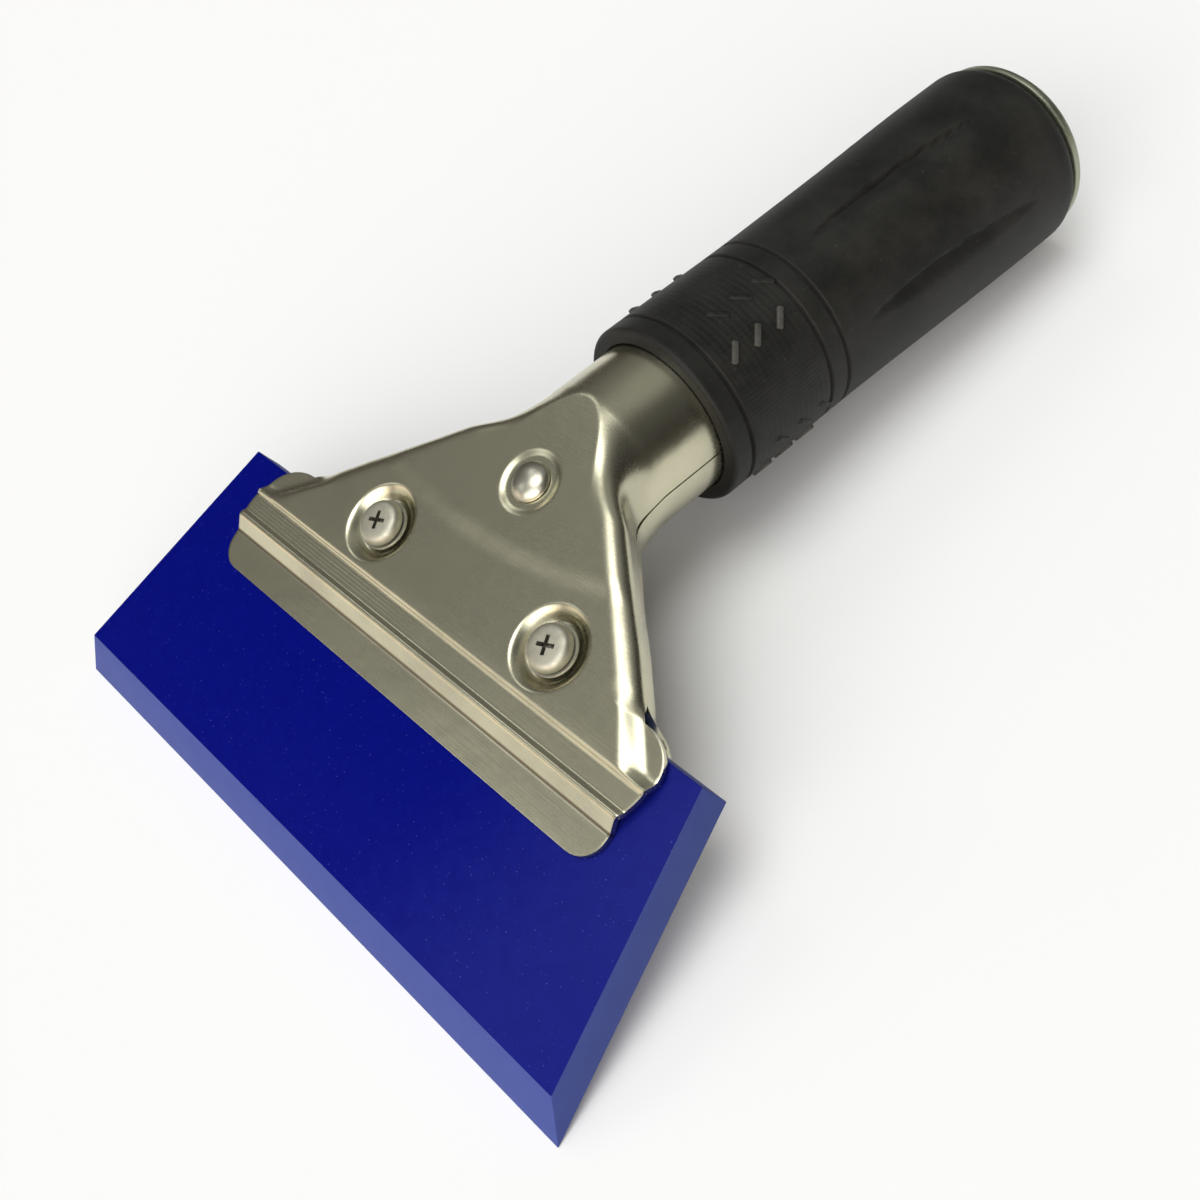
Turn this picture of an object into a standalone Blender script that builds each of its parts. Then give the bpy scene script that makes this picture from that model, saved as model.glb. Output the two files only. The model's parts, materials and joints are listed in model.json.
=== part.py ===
# Hand squeegee with a clamped trapezoid blade and a bent tubular handle.
# Units are metres, +Z is up. The tool lies on a table as an arch: the blade's front
# edge and the grip's tail touch the table, and the clamp head is held up between them.
#
# Head frame used while modelling: origin on the rivet's axis at half the head's height,
# x along the blade, y towards the handle, z out of the upper shell's flat field.

import math

import bmesh
import bpy
from mathutils import Matrix, Vector

MM = 0.001
COLLECTION = "hand_squeegee"
CUTTERS = "hand_squeegee_cutters"

# Blade
BLADE_THICK = 6.35 * MM
BLADE_FRONT = 128.0 * MM
BLADE_DEPTH = 49.2 * MM
BLADE_BACK_Y = -21.1 * MM
BLADE_BEVEL = 6.1 * MM
BLADE_END_BEVEL = 0.8 * MM
BLADE_SLANT = math.radians(9.9)
BLADE_SHIFT = -2.7 * MM

# Fits
REST_GAP = 0.3 * MM
SHAFT_GAP = 0.3 * MM
CUT_OVER = 0.2 * MM

# Sheet shells
SHEET = 1.0 * MM
FIELD_RISE = 1.8 * MM
LIP_FRONT_Y = -38.9 * MM
LIP_CORNER = 4.3 * MM
RISER_Y = -33.3 * MM
RISER_RUN = 1.5 * MM
BEAD_WIDTH = 1.3 * MM
GROOVE_DEPTH = 0.6 * MM
GROOVE_BACK_Y = -25.6 * MM
LIP_HALF = 46.9 * MM
EAR_HALF = 47.5 * MM
EAR_Y = -24.8 * MM
FAN_Y = -18.8 * MM
FAN_REACH = 21.2 * MM
FAN_EASE = 1.6 * MM
JAW_SHIFT = -1.6 * MM
EDGE_SPAN = 3.0 * MM
UPPER_CORNER = 2.8 * MM
UPPER_FLANGE = 3.6 * MM
UPPER_TURN = (-1.0 * MM, 2.2 * MM)
LOWER_CORNER = 5.2 * MM
LOWER_TURN = (0.9 * MM, 4.2 * MM)
LOWER_INSET = 3.2 * MM
LOWER_FAN_Y = -21.9 * MM
FLAT_END_Y = -11.0 * MM
NECK_BLEND_Y = 2.0 * MM
NECK_CORNER = 6.0 * MM

# Handle
BEND = math.radians(25.4)
BEND_Y = -2.3 * MM
TUBE_R = 13.4 * MM
TUBE_SHORT = 5.5 * MM

# Clamp screws, washers and nuts (metric 4 mm pan head)
SCREW_X = 20.55 * MM
SCREW_Y = -18.2 * MM
SCREW_R = 2.0 * MM
SCREW_HEAD_R = 3.8 * MM
SCREW_HEAD_H = 1.8 * MM
SCREW_PAST_NUT = 0.6 * MM
SCREW_TIP = 0.5 * MM
DRIVE_R = 2.1 * MM
DRIVE_DEPTH = 1.1 * MM
DRIVE_WIDTH = 0.9 * MM
WASHER_R = 4.2 * MM
WASHER_H = 0.4 * MM
DIMPLE_TOP_R = 6.2 * MM
DIMPLE_SEAT_R = 4.6 * MM
DIMPLE_DEPTH = 1.75 * MM
DIMPLE_WALL = 0.6 * MM
NUT_FLATS = 7.0 * MM
NUT_H = 3.2 * MM

# Rivet and its spacer sleeve
RIVET_R = 2.0 * MM
RIVET_HEAD_R = 3.4 * MM
RIVET_HEAD_H = 1.7 * MM
RIVET_TAIL_R = 3.2 * MM
RIVET_TAIL_H = 1.1 * MM
RIVET_RECESS_R = 5.0 * MM
RIVET_RECESS = 0.45 * MM
SPACER_R = 3.5 * MM
WELL_R = 5.0 * MM
WELL_RISE = 3.5 * MM

# Grip sleeve, measured along the handle's axis from the bend
GRIP_START = 25.8 * MM
GRIP_END = 111.0 * MM
GRIP_RIM_WALL = 2.5 * MM
GRIP_RIM_ROUND = 0.8 * MM
GRIP_WAIST_WALL = 2.4 * MM
GRIP_TAIL_WALL = 3.4 * MM
GRIP_TAIL_ROUND = 2.8 * MM
RING_AT = (29.9 * MM, 48.2 * MM, 52.3 * MM)
RING_DEPTH = 0.6 * MM
RING_WIDTH = 1.0 * MM
FLUTES = 6
FLUTE_START = 59.0 * MM
FLUTE_LENGTH = 40.0 * MM
FLUTE_WIDTH = 3.8 * MM
FLUTE_DEPTH = 1.0 * MM
FLUTE_TURN = math.radians(17.0)

# End cap, whose flange and step stand out from the grip's bore
CAP_FLANGE_WIDTH = 2.4 * MM
CAP_FLANGE_H = 1.4 * MM
CAP_STEP_WIDTH = 1.7 * MM
CAP_STEP_H = 0.9 * MM
CAP_PLUG = 9.0 * MM
CAP_CHAMFER = 0.3 * MM

# Sizes that follow
HALF_BLADE = BLADE_THICK / 2
LIP_TOP = HALF_BLADE + REST_GAP + SHEET
FIELD_Z = LIP_TOP + FIELD_RISE
SEAT_Z = FIELD_Z - DIMPLE_DEPTH
TUBE_IN = TUBE_R - SHEET
BORE_R = TUBE_R + SHAFT_GAP
GRIP_RIM_R = BORE_R + GRIP_RIM_WALL
GRIP_WAIST_R = BORE_R + GRIP_WAIST_WALL
GRIP_TAIL_R = BORE_R + GRIP_TAIL_WALL
CAP_FLANGE_R = BORE_R + CAP_FLANGE_WIDTH
CAP_STEP_R = BORE_R + CAP_STEP_WIDTH
AXIS_DIR = Vector((0.0, math.cos(BEND), -math.sin(BEND)))
AXIS_UP = Vector((0.0, math.sin(BEND), math.cos(BEND)))
AXIS_START = Vector((0.0, BEND_Y, 0.0))
NECK_AT = (TUBE_R * math.cos(BEND) - FIELD_Z) / math.sin(BEND)
NECK_LOW = AXIS_START + AXIS_DIR * NECK_AT - AXIS_UP * TUBE_R
LOW_SLOPE = math.atan2(-FIELD_Z - NECK_LOW.z, NECK_LOW.y - FLAT_END_Y)
WELL_Z = -FIELD_Z - WELL_RISE
SCREW_UNDER = SEAT_Z + WASHER_H + 2 * REST_GAP
SCREW_LENGTH = SCREW_UNDER + SEAT_Z + REST_GAP + NUT_H + SCREW_PAST_NUT
TUBE_END = GRIP_END - TUBE_SHORT
CAP_START = GRIP_END + REST_GAP
CAP_END = CAP_START + CAP_FLANGE_H + CAP_STEP_H
BLADE_FRONT_Y = BLADE_BACK_Y - BLADE_DEPTH

FLAT_STEPS = 4
ARC_STEPS = 7
SIDE_STEPS = 2


def axis_point(along, out=0.0):
    """Point of the symmetry plane, along the handle's axis and out towards its top."""
    return AXIS_START + AXIS_DIR * along + AXIS_UP * out


def rest_tilt():
    """Tilt that brings the blade's front edge and the handle's tail onto one level."""
    edge = Vector((BLADE_FRONT_Y, -HALF_BLADE))
    corners = [axis_point(CAP_START + CAP_FLANGE_H, -CAP_FLANGE_R), axis_point(CAP_END, -CAP_STEP_R)]
    corners += [axis_point(along, -radius) for radius, along in grip_profile()]
    return max(math.atan2(edge.y - c.z, c.y - edge.x) for c in corners)


def smooth(value, low, high):
    t = min(1.0, max(0.0, (value - low) / (high - low)))
    return t * t * (3.0 - 2.0 * t)


def mix(a, b, t):
    return a + (b - a) * t


# Scene helpers

def clear_scene():
    for obj in list(bpy.data.objects):
        bpy.data.objects.remove(obj, do_unlink=True)


def collection(name):
    col = bpy.data.collections.new(name)
    bpy.context.scene.collection.children.link(col)
    return col


def material(name, colour, roughness, metallic):
    mat = bpy.data.materials.new(name)
    mat.use_nodes = True
    shader = mat.node_tree.nodes["Principled BSDF"]
    shader.inputs["Base Color"].default_value = (*colour, 1.0)
    shader.inputs["Roughness"].default_value = roughness
    shader.inputs["Metallic"].default_value = metallic
    mat.diffuse_color = (*colour, 1.0)
    return mat


def add_object(name, bm, col, frame, mat=None, place=None):
    mesh = bpy.data.meshes.new(name)
    bm.to_mesh(mesh)
    bm.free()
    obj = bpy.data.objects.new(name, mesh)
    col.objects.link(obj)
    obj.parent = frame
    if place is not None:
        obj.matrix_local = place
    if mat is not None:
        mesh.materials.append(mat)
        mesh.shade_smooth()
        mesh.set_sharp_from_angle(angle=math.radians(32))
    return obj


def as_cutter(obj):
    obj.hide_render = True
    obj.display_type = "WIRE"
    return obj


def boolean(obj, cutter, operation):
    mod = obj.modifiers.new(operation.lower(), "BOOLEAN")
    mod.operation = operation
    mod.solver = "EXACT"
    mod.object = cutter


def turn(name, profile, steps, col, frame, mat=None, place=None):
    """Solid of revolution about its own z: a closed profile of (radius, height) pairs."""
    bm = bmesh.new()
    verts = [bm.verts.new((r, 0.0, z)) for r, z in profile]
    for a, b in zip(verts, verts[1:]):
        bm.edges.new((a, b))
    if profile[0][0] > 1e-9:
        bm.edges.new((verts[-1], verts[0]))
    obj = add_object(name, bm, col, frame, mat, place)
    mod = obj.modifiers.new("turned", "SCREW")
    mod.axis = "Z"
    mod.angle = math.tau
    mod.steps = steps
    mod.render_steps = steps
    mod.use_merge_vertices = True
    mod.merge_threshold = 1e-6
    mod.use_smooth_shade = True
    return obj


def cone(name, r_top, r_bottom, z_top, z_bottom, steps, col, frame, place=None):
    """Upright frustum used as a boss or a cutter."""
    bm = bmesh.new()
    bmesh.ops.create_cone(bm, cap_ends=True, segments=steps, radius1=r_bottom, radius2=r_top,
                          depth=z_top - z_bottom)
    bmesh.ops.translate(bm, verts=bm.verts, vec=(0.0, 0.0, (z_top + z_bottom) / 2))
    return as_cutter(add_object(name, bm, col, frame, None, place))


def axis_place(along):
    """Local frame whose z runs along the handle's axis, towards the end cap."""
    rot = Matrix.Rotation(-(math.pi / 2 + BEND), 4, "X")
    return Matrix.Translation(axis_point(along)) @ rot


# Blade

def blade_corner(side, back, top):
    """Corner of the blade: its ends slope, and its front and ends are bevelled."""
    half = BLADE_FRONT / 2
    low_x = side * half + BLADE_SHIFT
    y = BLADE_BACK_Y if back else BLADE_FRONT_Y + (BLADE_BEVEL if top else 0.0)
    x = low_x - side * (y - BLADE_FRONT_Y) * math.tan(BLADE_SLANT)
    if top:
        x -= side * BLADE_END_BEVEL / math.cos(BLADE_SLANT)
    return x, y, HALF_BLADE if top else -HALF_BLADE


def make_blade(col, frame, mat):
    bm = bmesh.new()
    bmesh.ops.create_cube(bm, size=2.0)
    for vert in bm.verts:
        vert.co = blade_corner(1 if vert.co.x > 0 else -1, vert.co.y > 0, vert.co.z > 0)
    return add_object("blade", bm, col, frame, mat)


# Shells

def jaw_stations(ear_y, fan_y, inset):
    """Front part of a shell: (y, height of its outer face, half width), lip to field."""
    lip, top = LIP_TOP, FIELD_Z
    c = LIP_CORNER
    rows = [(LIP_FRONT_Y + c * (1 - math.cos(a)), lip, LIP_HALF - c * (1 - math.sin(a)))
            for a in (0.0, math.pi / 6, math.pi / 3, math.pi / 2)]
    bead = RISER_Y + RISER_RUN
    rise = top - lip
    groove = bead + BEAD_WIDTH
    rows += [(RISER_Y - RISER_RUN / 3, lip, LIP_HALF),
             (RISER_Y, lip + rise * 0.12, LIP_HALF),
             (RISER_Y + RISER_RUN * 0.6, lip + rise * 0.82, LIP_HALF),
             (bead, top, mix(LIP_HALF, EAR_HALF, 0.1)),
             (mix(bead, groove, 0.85), top, mix(LIP_HALF, EAR_HALF, 0.3)),
             (groove + GROOVE_DEPTH, top - GROOVE_DEPTH, mix(LIP_HALF, EAR_HALF, 0.7)),
             (GROOVE_BACK_Y - GROOVE_DEPTH * 2, top - GROOVE_DEPTH, EAR_HALF),
             (GROOVE_BACK_Y, top, EAR_HALF),
             *((mix(ear_y, fan_y, t), top, mix(EAR_HALF, fan_half(fan_y) - inset, u))
               for t, u in ((0.45, 0.12), (0.75, 0.35), (0.92, 0.7)))]
    return rows


def jaw_middle(y):
    """The jaw's front stands a little to the left of the rivet's axis."""
    return Vector((JAW_SHIFT * (1.0 - smooth(y, RISER_Y, FAN_Y)), y, 0.0))


def fan_half(y):
    """Half width of the fan at its outer face: a 45 degree line that eases into the tube."""
    over = (FAN_REACH - y - TUBE_R) / FAN_EASE
    return TUBE_R + FAN_EASE * (over if over > 30 else math.log1p(math.exp(over)))


def flat_contour(half, height):
    end = EDGE_SPAN
    points = [(half - end) * k / FLAT_STEPS for k in range(FLAT_STEPS + 1)]
    rest = ARC_STEPS + SIDE_STEPS
    points += [half - end + end * k / rest for k in range(1, rest + 1)]
    return [(x, height) for x in points]


def flanged_contour(half, height, corner, edge):
    points = [((half - corner) * k / FLAT_STEPS, height) for k in range(FLAT_STEPS + 1)]
    for k in range(1, ARC_STEPS + 1):
        a = math.pi / 2 * k / ARC_STEPS
        points.append((half - corner + corner * math.sin(a), height - corner + corner * math.cos(a)))
    for k in range(1, SIDE_STEPS + 1):
        points.append((half, mix(height - corner, edge, k / SIDE_STEPS)))
    return points


def tube_contour(height, edge):
    """Tube cut by the flat field: flat up to the crease, then the tube's own round."""
    flat = math.sqrt(max(0.0, TUBE_R ** 2 - height ** 2))
    points = [(flat * k / FLAT_STEPS, height) for k in range(FLAT_STEPS + 1)]
    start = math.atan2(flat, height)
    if flat < 0.15 * TUBE_R:
        start = math.radians(30.0)
        turns = [start * k / FLAT_STEPS for k in range(FLAT_STEPS + 1)]
        points = [(TUBE_R * math.sin(a), TUBE_R * math.cos(a)) for a in turns]
    end = math.acos(edge / TUBE_R)
    rest = ARC_STEPS + SIDE_STEPS
    for k in range(1, rest + 1):
        a = mix(start, end, k / rest)
        points.append((TUBE_R * math.sin(a), TUBE_R * math.cos(a)))
    return points


def shell_stations(side):
    """Sections of one shell: (middle, outward direction, contour), from lip to tube end."""
    up = Vector((0.0, 0.0, 1.0)) * side
    upper = side > 0
    corner = UPPER_CORNER if upper else LOWER_CORNER
    inset = 0.0 if upper else LOWER_INSET
    ear_y, fan_y = (EAR_Y, FAN_Y) if upper else (GROOVE_BACK_Y, LOWER_FAN_Y)
    seam = REST_GAP / 2
    sections = []
    for y, height, half in jaw_stations(ear_y, fan_y, inset):
        sections.append((jaw_middle(y), up, flat_contour(half, height)))
    low, high = UPPER_TURN if upper else LOWER_TURN
    edge_front = FIELD_Z - UPPER_FLANGE if upper else seam
    for k in range(5):
        y = mix(fan_y, FLAT_END_Y, k / 5)
        half = fan_half(y) - inset
        turned = flanged_contour(half, FIELD_Z, corner, edge_front)
        plain = flat_contour(half, FIELD_Z)
        t = smooth(y, FAN_Y + low, FAN_Y + high)
        contour = [(mix(a, c, t), mix(b, d, t)) for (a, b), (c, d) in zip(plain, turned)]
        sections.append((Vector((0.0, y, 0.0)), up, contour))
    top_end = axis_point(NECK_AT, TUBE_R)
    count = 11
    for k in range(count + 1):
        t = k / count
        top = Vector((0.0, FLAT_END_Y, FIELD_Z)).lerp(top_end, t)
        low_point = Vector((0.0, FLAT_END_Y, -FIELD_Z)).lerp(NECK_LOW, t)
        middle = (top + low_point) / 2
        height = (top - low_point).length / 2
        out = (top - low_point).normalized() * side
        half = fan_half(top.y) - inset * (1 - smooth(t, 0.2, 0.8))
        edge = mix(edge_front, seam, smooth(t, 0.35, 0.95))
        if upper:
            rounded = mix(corner, NECK_CORNER, smooth(t, 0.5, 1.0))
        else:
            rounded = mix(corner, height * 0.8, smooth(t, 0.0, 0.7))
        head = flanged_contour(half, height, rounded, min(edge, (height - rounded) * 0.98))
        tube = tube_contour(min(height, TUBE_R), seam)
        b = smooth(top.y, NECK_BLEND_Y, top_end.y)
        contour = [(mix(p, r, b), mix(q, s, b)) for (p, q), (r, s) in zip(head, tube)]
        sections.append((middle, out, contour))
    for along in (GRIP_START, mix(GRIP_START, TUBE_END, 0.5), TUBE_END):
        sections.append((axis_point(along), AXIS_UP * side, tube_contour(TUBE_R, seam)))
    return sections


def shell_surface(side):
    """Open outer surface of a shell: a grid laid over its sections."""
    sections = shell_stations(side)
    across = 2 * (FLAT_STEPS + ARC_STEPS + SIDE_STEPS)
    bm = bmesh.new()
    bmesh.ops.create_grid(bm, x_segments=across, y_segments=len(sections) - 1, size=0.5)
    for vert in bm.verts:
        i = round((vert.co.x + 0.5) * across)
        j = round((vert.co.y + 0.5) * (len(sections) - 1))
        middle, out, contour = sections[j]
        k = i - across // 2
        x, height = contour[abs(k)]
        vert.co = middle + out * height + Vector((math.copysign(x, k) if k else 0.0, 0.0, 0.0))
    bmesh.ops.recalc_face_normals(bm, faces=bm.faces)
    bm.normal_update()
    outward = sum((f.normal.z * f.calc_area() for f in bm.faces), 0.0) * side
    if outward < 0:
        bmesh.ops.reverse_faces(bm, faces=bm.faces)
    return bm


def make_shell(name, side, col, cutters, frame, mat):
    obj = add_object(name, shell_surface(side), col, frame, mat)
    wall = obj.modifiers.new("sheet", "SOLIDIFY")
    wall.thickness = SHEET
    wall.offset = -1.0
    wall.use_even_offset = True
    wall.use_rim = True
    flip = Matrix.Diagonal((1.0, 1.0, side, 1.0))
    for tag, x in (("left", -SCREW_X), ("right", SCREW_X)):
        at = Matrix.Translation((x, SCREW_Y, 0.0)) @ (flip if side > 0 else Matrix.Rotation(math.pi, 4, "X"))
        boss = cone(f"{name}_{tag}_boss", DIMPLE_TOP_R + DIMPLE_WALL, DIMPLE_SEAT_R + DIMPLE_WALL,
                    FIELD_Z - SHEET / 2, SEAT_Z - SHEET * 0.95, 28, cutters, frame, at)
        bowl = cone(f"{name}_{tag}_bowl", DIMPLE_TOP_R + CUT_OVER, DIMPLE_SEAT_R, FIELD_Z + CUT_OVER,
                    SEAT_Z, 28, cutters, frame, at)
        hole = cone(f"{name}_{tag}_hole", SCREW_R + SHAFT_GAP, SCREW_R + SHAFT_GAP, FIELD_Z + SHEET,
                    SEAT_Z - 2 * SHEET, 20, cutters, frame, at)
        boolean(obj, boss, "UNION")
        boolean(obj, bowl, "DIFFERENCE")
        boolean(obj, hole, "DIFFERENCE")
    if side > 0:
        recess = cone(f"{name}_rivet_recess", RIVET_RECESS_R + CUT_OVER, RIVET_RECESS_R,
                      FIELD_Z + CUT_OVER, FIELD_Z - RIVET_RECESS, 24, cutters, frame)
        boolean(obj, recess, "DIFFERENCE")
    else:
        add_well(name, obj, cutters, frame)
    hole = cone(f"{name}_rivet_hole", RIVET_R + SHAFT_GAP, RIVET_R + SHAFT_GAP, FIELD_Z + SHEET,
                WELL_Z - TUBE_R, 20, cutters, frame)
    boolean(obj, hole, "DIFFERENCE")
    return obj


def add_well(name, obj, cutters, frame):
    """Round well with a level floor in the sloping underside, for the rivet's tail."""
    deep = WELL_Z - TUBE_R
    boss = cone(f"{name}_well_boss", WELL_R + SHEET, WELL_R + SHEET, WELL_Z + SHEET, deep, 24,
                cutters, frame)
    well = cone(f"{name}_well", WELL_R, WELL_R, WELL_Z, deep - SHEET, 24, cutters, frame)
    trim = bmesh.new()
    size = 4 * TUBE_R
    bmesh.ops.create_cube(trim, size=size)
    slope = Vector((0.0, math.sin(LOW_SLOPE), math.cos(LOW_SLOPE)))
    middle = NECK_LOW + slope * (SHEET - size) / 2
    place = Matrix.Translation(middle) @ Matrix.Rotation(-LOW_SLOPE, 4, "X")
    under = as_cutter(add_object(f"{name}_well_trim", trim, cutters, frame, None, place))
    boolean(boss, under, "DIFFERENCE")
    boolean(obj, boss, "UNION")
    boolean(obj, well, "DIFFERENCE")


# Fasteners

def make_screw(tag, x, col, cutters, frame, mat):
    """Pan head screw with a cross recess; its own z is its axis, origin under the head."""
    place = Matrix.Translation((x, SCREW_Y, SCREW_UNDER))
    r, h = SCREW_HEAD_R, SCREW_HEAD_H
    profile = [(0.0, h), (r * 0.55, h * 0.98), (r * 0.8, h * 0.86), (r * 0.95, h * 0.6), (r, h * 0.3),
               (r, 0.0), (SCREW_R, 0.0), (SCREW_R, -SCREW_LENGTH + SCREW_TIP),
               (SCREW_R - SCREW_TIP, -SCREW_LENGTH), (0.0, -SCREW_LENGTH)]
    obj = turn(f"{tag}_screw", profile, 24, col, frame, mat, place)
    for n, angle in enumerate((20.0, 110.0)):
        bm = bmesh.new()
        bmesh.ops.create_cube(bm, size=1.0)
        bmesh.ops.scale(bm, verts=bm.verts, vec=(2 * DRIVE_R, DRIVE_WIDTH, 2 * DRIVE_DEPTH))
        turned = place @ Matrix.Translation((0.0, 0.0, h)) @ Matrix.Rotation(math.radians(angle), 4, "Z")
        slot = as_cutter(add_object(f"{tag}_drive_{n}", bm, cutters, frame, None, turned))
        boolean(obj, slot, "DIFFERENCE")
    return obj


def make_washer(tag, x, col, frame, mat):
    bore = SCREW_R + SHAFT_GAP
    profile = [(WASHER_R, WASHER_H), (WASHER_R, 0.0), (bore, 0.0), (bore, WASHER_H)]
    place = Matrix.Translation((x, SCREW_Y, SEAT_Z + REST_GAP))
    return turn(f"{tag}_washer", profile, 24, col, frame, mat, place)


def make_nut(tag, x, col, cutters, frame, mat):
    top = -SEAT_Z - REST_GAP
    bm = bmesh.new()
    bmesh.ops.create_cone(bm, cap_ends=True, segments=6, radius1=NUT_FLATS / math.sqrt(3),
                          radius2=NUT_FLATS / math.sqrt(3), depth=NUT_H)
    place = Matrix.Translation((x, SCREW_Y, top - NUT_H / 2))
    obj = add_object(f"{tag}_nut", bm, col, frame, mat, place)
    bore = SCREW_R + SHAFT_GAP
    hole = cone(f"{tag}_nut_bore", bore, bore, NUT_H, -NUT_H, 20, cutters, frame, place)
    boolean(obj, hole, "DIFFERENCE")
    return obj


def make_rivet(col, frame, mat):
    top = FIELD_Z - RIVET_RECESS + REST_GAP
    low = WELL_Z - REST_GAP
    r, h = RIVET_HEAD_R, RIVET_HEAD_H
    dome = [(r * math.sin(a), top + h * math.cos(a)) for a in (0.0, 0.35, 0.7, 1.0, 1.25, math.pi / 2)]
    t = RIVET_TAIL_R
    profile = dome + [(RIVET_R, top), (RIVET_R, low), (t, low), (t, low - RIVET_TAIL_H * 0.5),
                      (t * 0.7, low - RIVET_TAIL_H), (0.0, low - RIVET_TAIL_H)]
    return turn("rivet", profile, 24, col, frame, mat)


def make_spacer(col, frame, mat):
    top = FIELD_Z - SHEET - REST_GAP
    low = WELL_Z + SHEET + REST_GAP
    bore = RIVET_R + SHAFT_GAP
    profile = [(SPACER_R, top), (SPACER_R, low), (bore, low), (bore, top)]
    return turn("rivet_spacer", profile, 24, col, frame, mat)


# Grip and end cap

def grip_radius(along):
    """Outer radius of the sleeve: level at the rim, a slight waist, thicker at its tail."""
    waist = RING_AT[2]
    if along < waist:
        return mix(GRIP_RIM_R, GRIP_WAIST_R, smooth(along, RING_AT[0], waist))
    return mix(GRIP_WAIST_R, GRIP_TAIL_R, smooth(along, waist, GRIP_END - GRIP_TAIL_ROUND) ** 0.8)


def grip_profile():
    """Outline of the sleeve as (radius, place along the axis), end to front, then the bore."""
    c = GRIP_TAIL_ROUND
    outer = [(GRIP_TAIL_R - c * (1 - math.cos(a)), GRIP_END - c * (1 - math.sin(a)))
             for a in (math.pi / 2, math.pi / 3, math.pi / 6, 0.0)]
    spots = [mix(RING_AT[2], GRIP_END - c, t) for t in (0.75, 0.5, 0.25, 0.1)]
    outer += [(grip_radius(s), s) for s in spots]
    for ring in reversed(RING_AT):
        half = RING_WIDTH / 2
        outer += [(grip_radius(ring + half), ring + half),
                  (grip_radius(ring) - RING_DEPTH, ring + half * 0.4),
                  (grip_radius(ring) - RING_DEPTH, ring - half * 0.4),
                  (grip_radius(ring - half), ring - half)]
    rim = GRIP_RIM_ROUND
    outer += [(GRIP_RIM_R, GRIP_START + rim), (GRIP_RIM_R - 0.3 * rim, GRIP_START + 0.3 * rim),
              (GRIP_RIM_R - rim, GRIP_START)]
    return outer + [(BORE_R, GRIP_START), (BORE_R, GRIP_END)]


def make_grip(col, cutters, frame, mat):
    place = axis_place(0.0)
    obj = turn("grip", grip_profile(), 36, col, frame, mat, place)
    for n in range(FLUTES):
        bm = bmesh.new()
        bmesh.ops.create_uvsphere(bm, u_segments=12, v_segments=12, radius=0.5)
        bmesh.ops.scale(bm, verts=bm.verts, vec=(FLUTE_WIDTH, 4 * FLUTE_DEPTH, FLUTE_LENGTH))
        middle = FLUTE_START + FLUTE_LENGTH / 2
        around = math.pi - FLUTE_TURN + math.tau * n / FLUTES
        rise = grip_radius(middle) + FLUTE_DEPTH * 0.9
        local = (Matrix.Rotation(-around, 4, "Z") @ Matrix.Translation((0.0, rise, middle))
                 @ Matrix.Rotation(math.radians(0.8), 4, "X"))
        cut = as_cutter(add_object(f"flute_{n}", bm, cutters, frame, None, place @ local))
        boolean(obj, cut, "DIFFERENCE")
    return obj


def make_cap(col, frame, mat):
    """Stepped metal cap: a plug inside the tube, a flange and a step outside the grip."""
    plug = TUBE_IN - SHAFT_GAP
    c = CAP_CHAMFER
    start, step, end = CAP_START, CAP_START + CAP_FLANGE_H, CAP_END
    profile = [(0.0, end), (CAP_STEP_R - c, end), (CAP_STEP_R, end - c), (CAP_STEP_R, step),
               (CAP_FLANGE_R - c, step), (CAP_FLANGE_R, step - c), (CAP_FLANGE_R, start + c),
               (CAP_FLANGE_R - c, start), (plug, start), (plug, start - CAP_PLUG), (0.0, start - CAP_PLUG)]
    return turn("end_cap", profile, 36, col, frame, mat, axis_place(0.0))


def main():
    clear_scene()
    col = collection(COLLECTION)
    cutters = collection(CUTTERS)
    frame = bpy.data.objects.new("head_frame", None)
    col.objects.link(frame)
    tilt = rest_tilt()
    level = Matrix.Rotation(tilt, 4, "X")
    edge = level @ Vector((0.0, BLADE_FRONT_Y, -HALF_BLADE))
    rear = max((level @ axis_point(CAP_END, out)).y for out in (-CAP_STEP_R, CAP_STEP_R))
    frame.matrix_world = Matrix.Translation((-BLADE_SHIFT, -(edge.y + rear) / 2, -edge.z)) @ level

    polyurethane = material("blue_polyurethane", (0.010, 0.012, 0.235), 0.42, 0.0)
    steel = material("stainless_sheet", (0.52, 0.50, 0.44), 0.30, 1.0)
    bright = material("plated_steel", (0.62, 0.60, 0.54), 0.28, 1.0)
    rubber = material("black_rubber", (0.028, 0.028, 0.027), 0.62, 0.0)
    alloy = material("satin_alloy", (0.50, 0.51, 0.42), 0.38, 1.0)

    make_blade(col, frame, polyurethane)
    make_shell("upper_shell", 1, col, cutters, frame, steel)
    make_shell("lower_shell", -1, col, cutters, frame, steel)
    for tag, x in (("left", -SCREW_X), ("right", SCREW_X)):
        make_screw(tag, x, col, cutters, frame, bright)
        make_washer(tag, x, col, frame, bright)
        make_nut(tag, x, col, cutters, frame, bright)
    make_rivet(col, frame, bright)
    make_spacer(col, frame, bright)
    make_grip(col, cutters, frame, rubber)
    make_cap(col, frame, alloy)


main()
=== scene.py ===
# %% [markdown]
# # A hand squeegee with a clamped blade
# The tool is a blue polyurethane blade held between two stamped steel jaws, a steel neck, and a
# rubber sleeve closed by a metal cap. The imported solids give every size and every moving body.
# This script dresses them: it presses the sheet metal afresh with finer bends, cuts a real
# blade, screws and grip, and gives each surface its own finish.

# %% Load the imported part
import json
import math

import bmesh
import bpy
import numpy as np
from mathutils import Matrix, Vector


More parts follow.
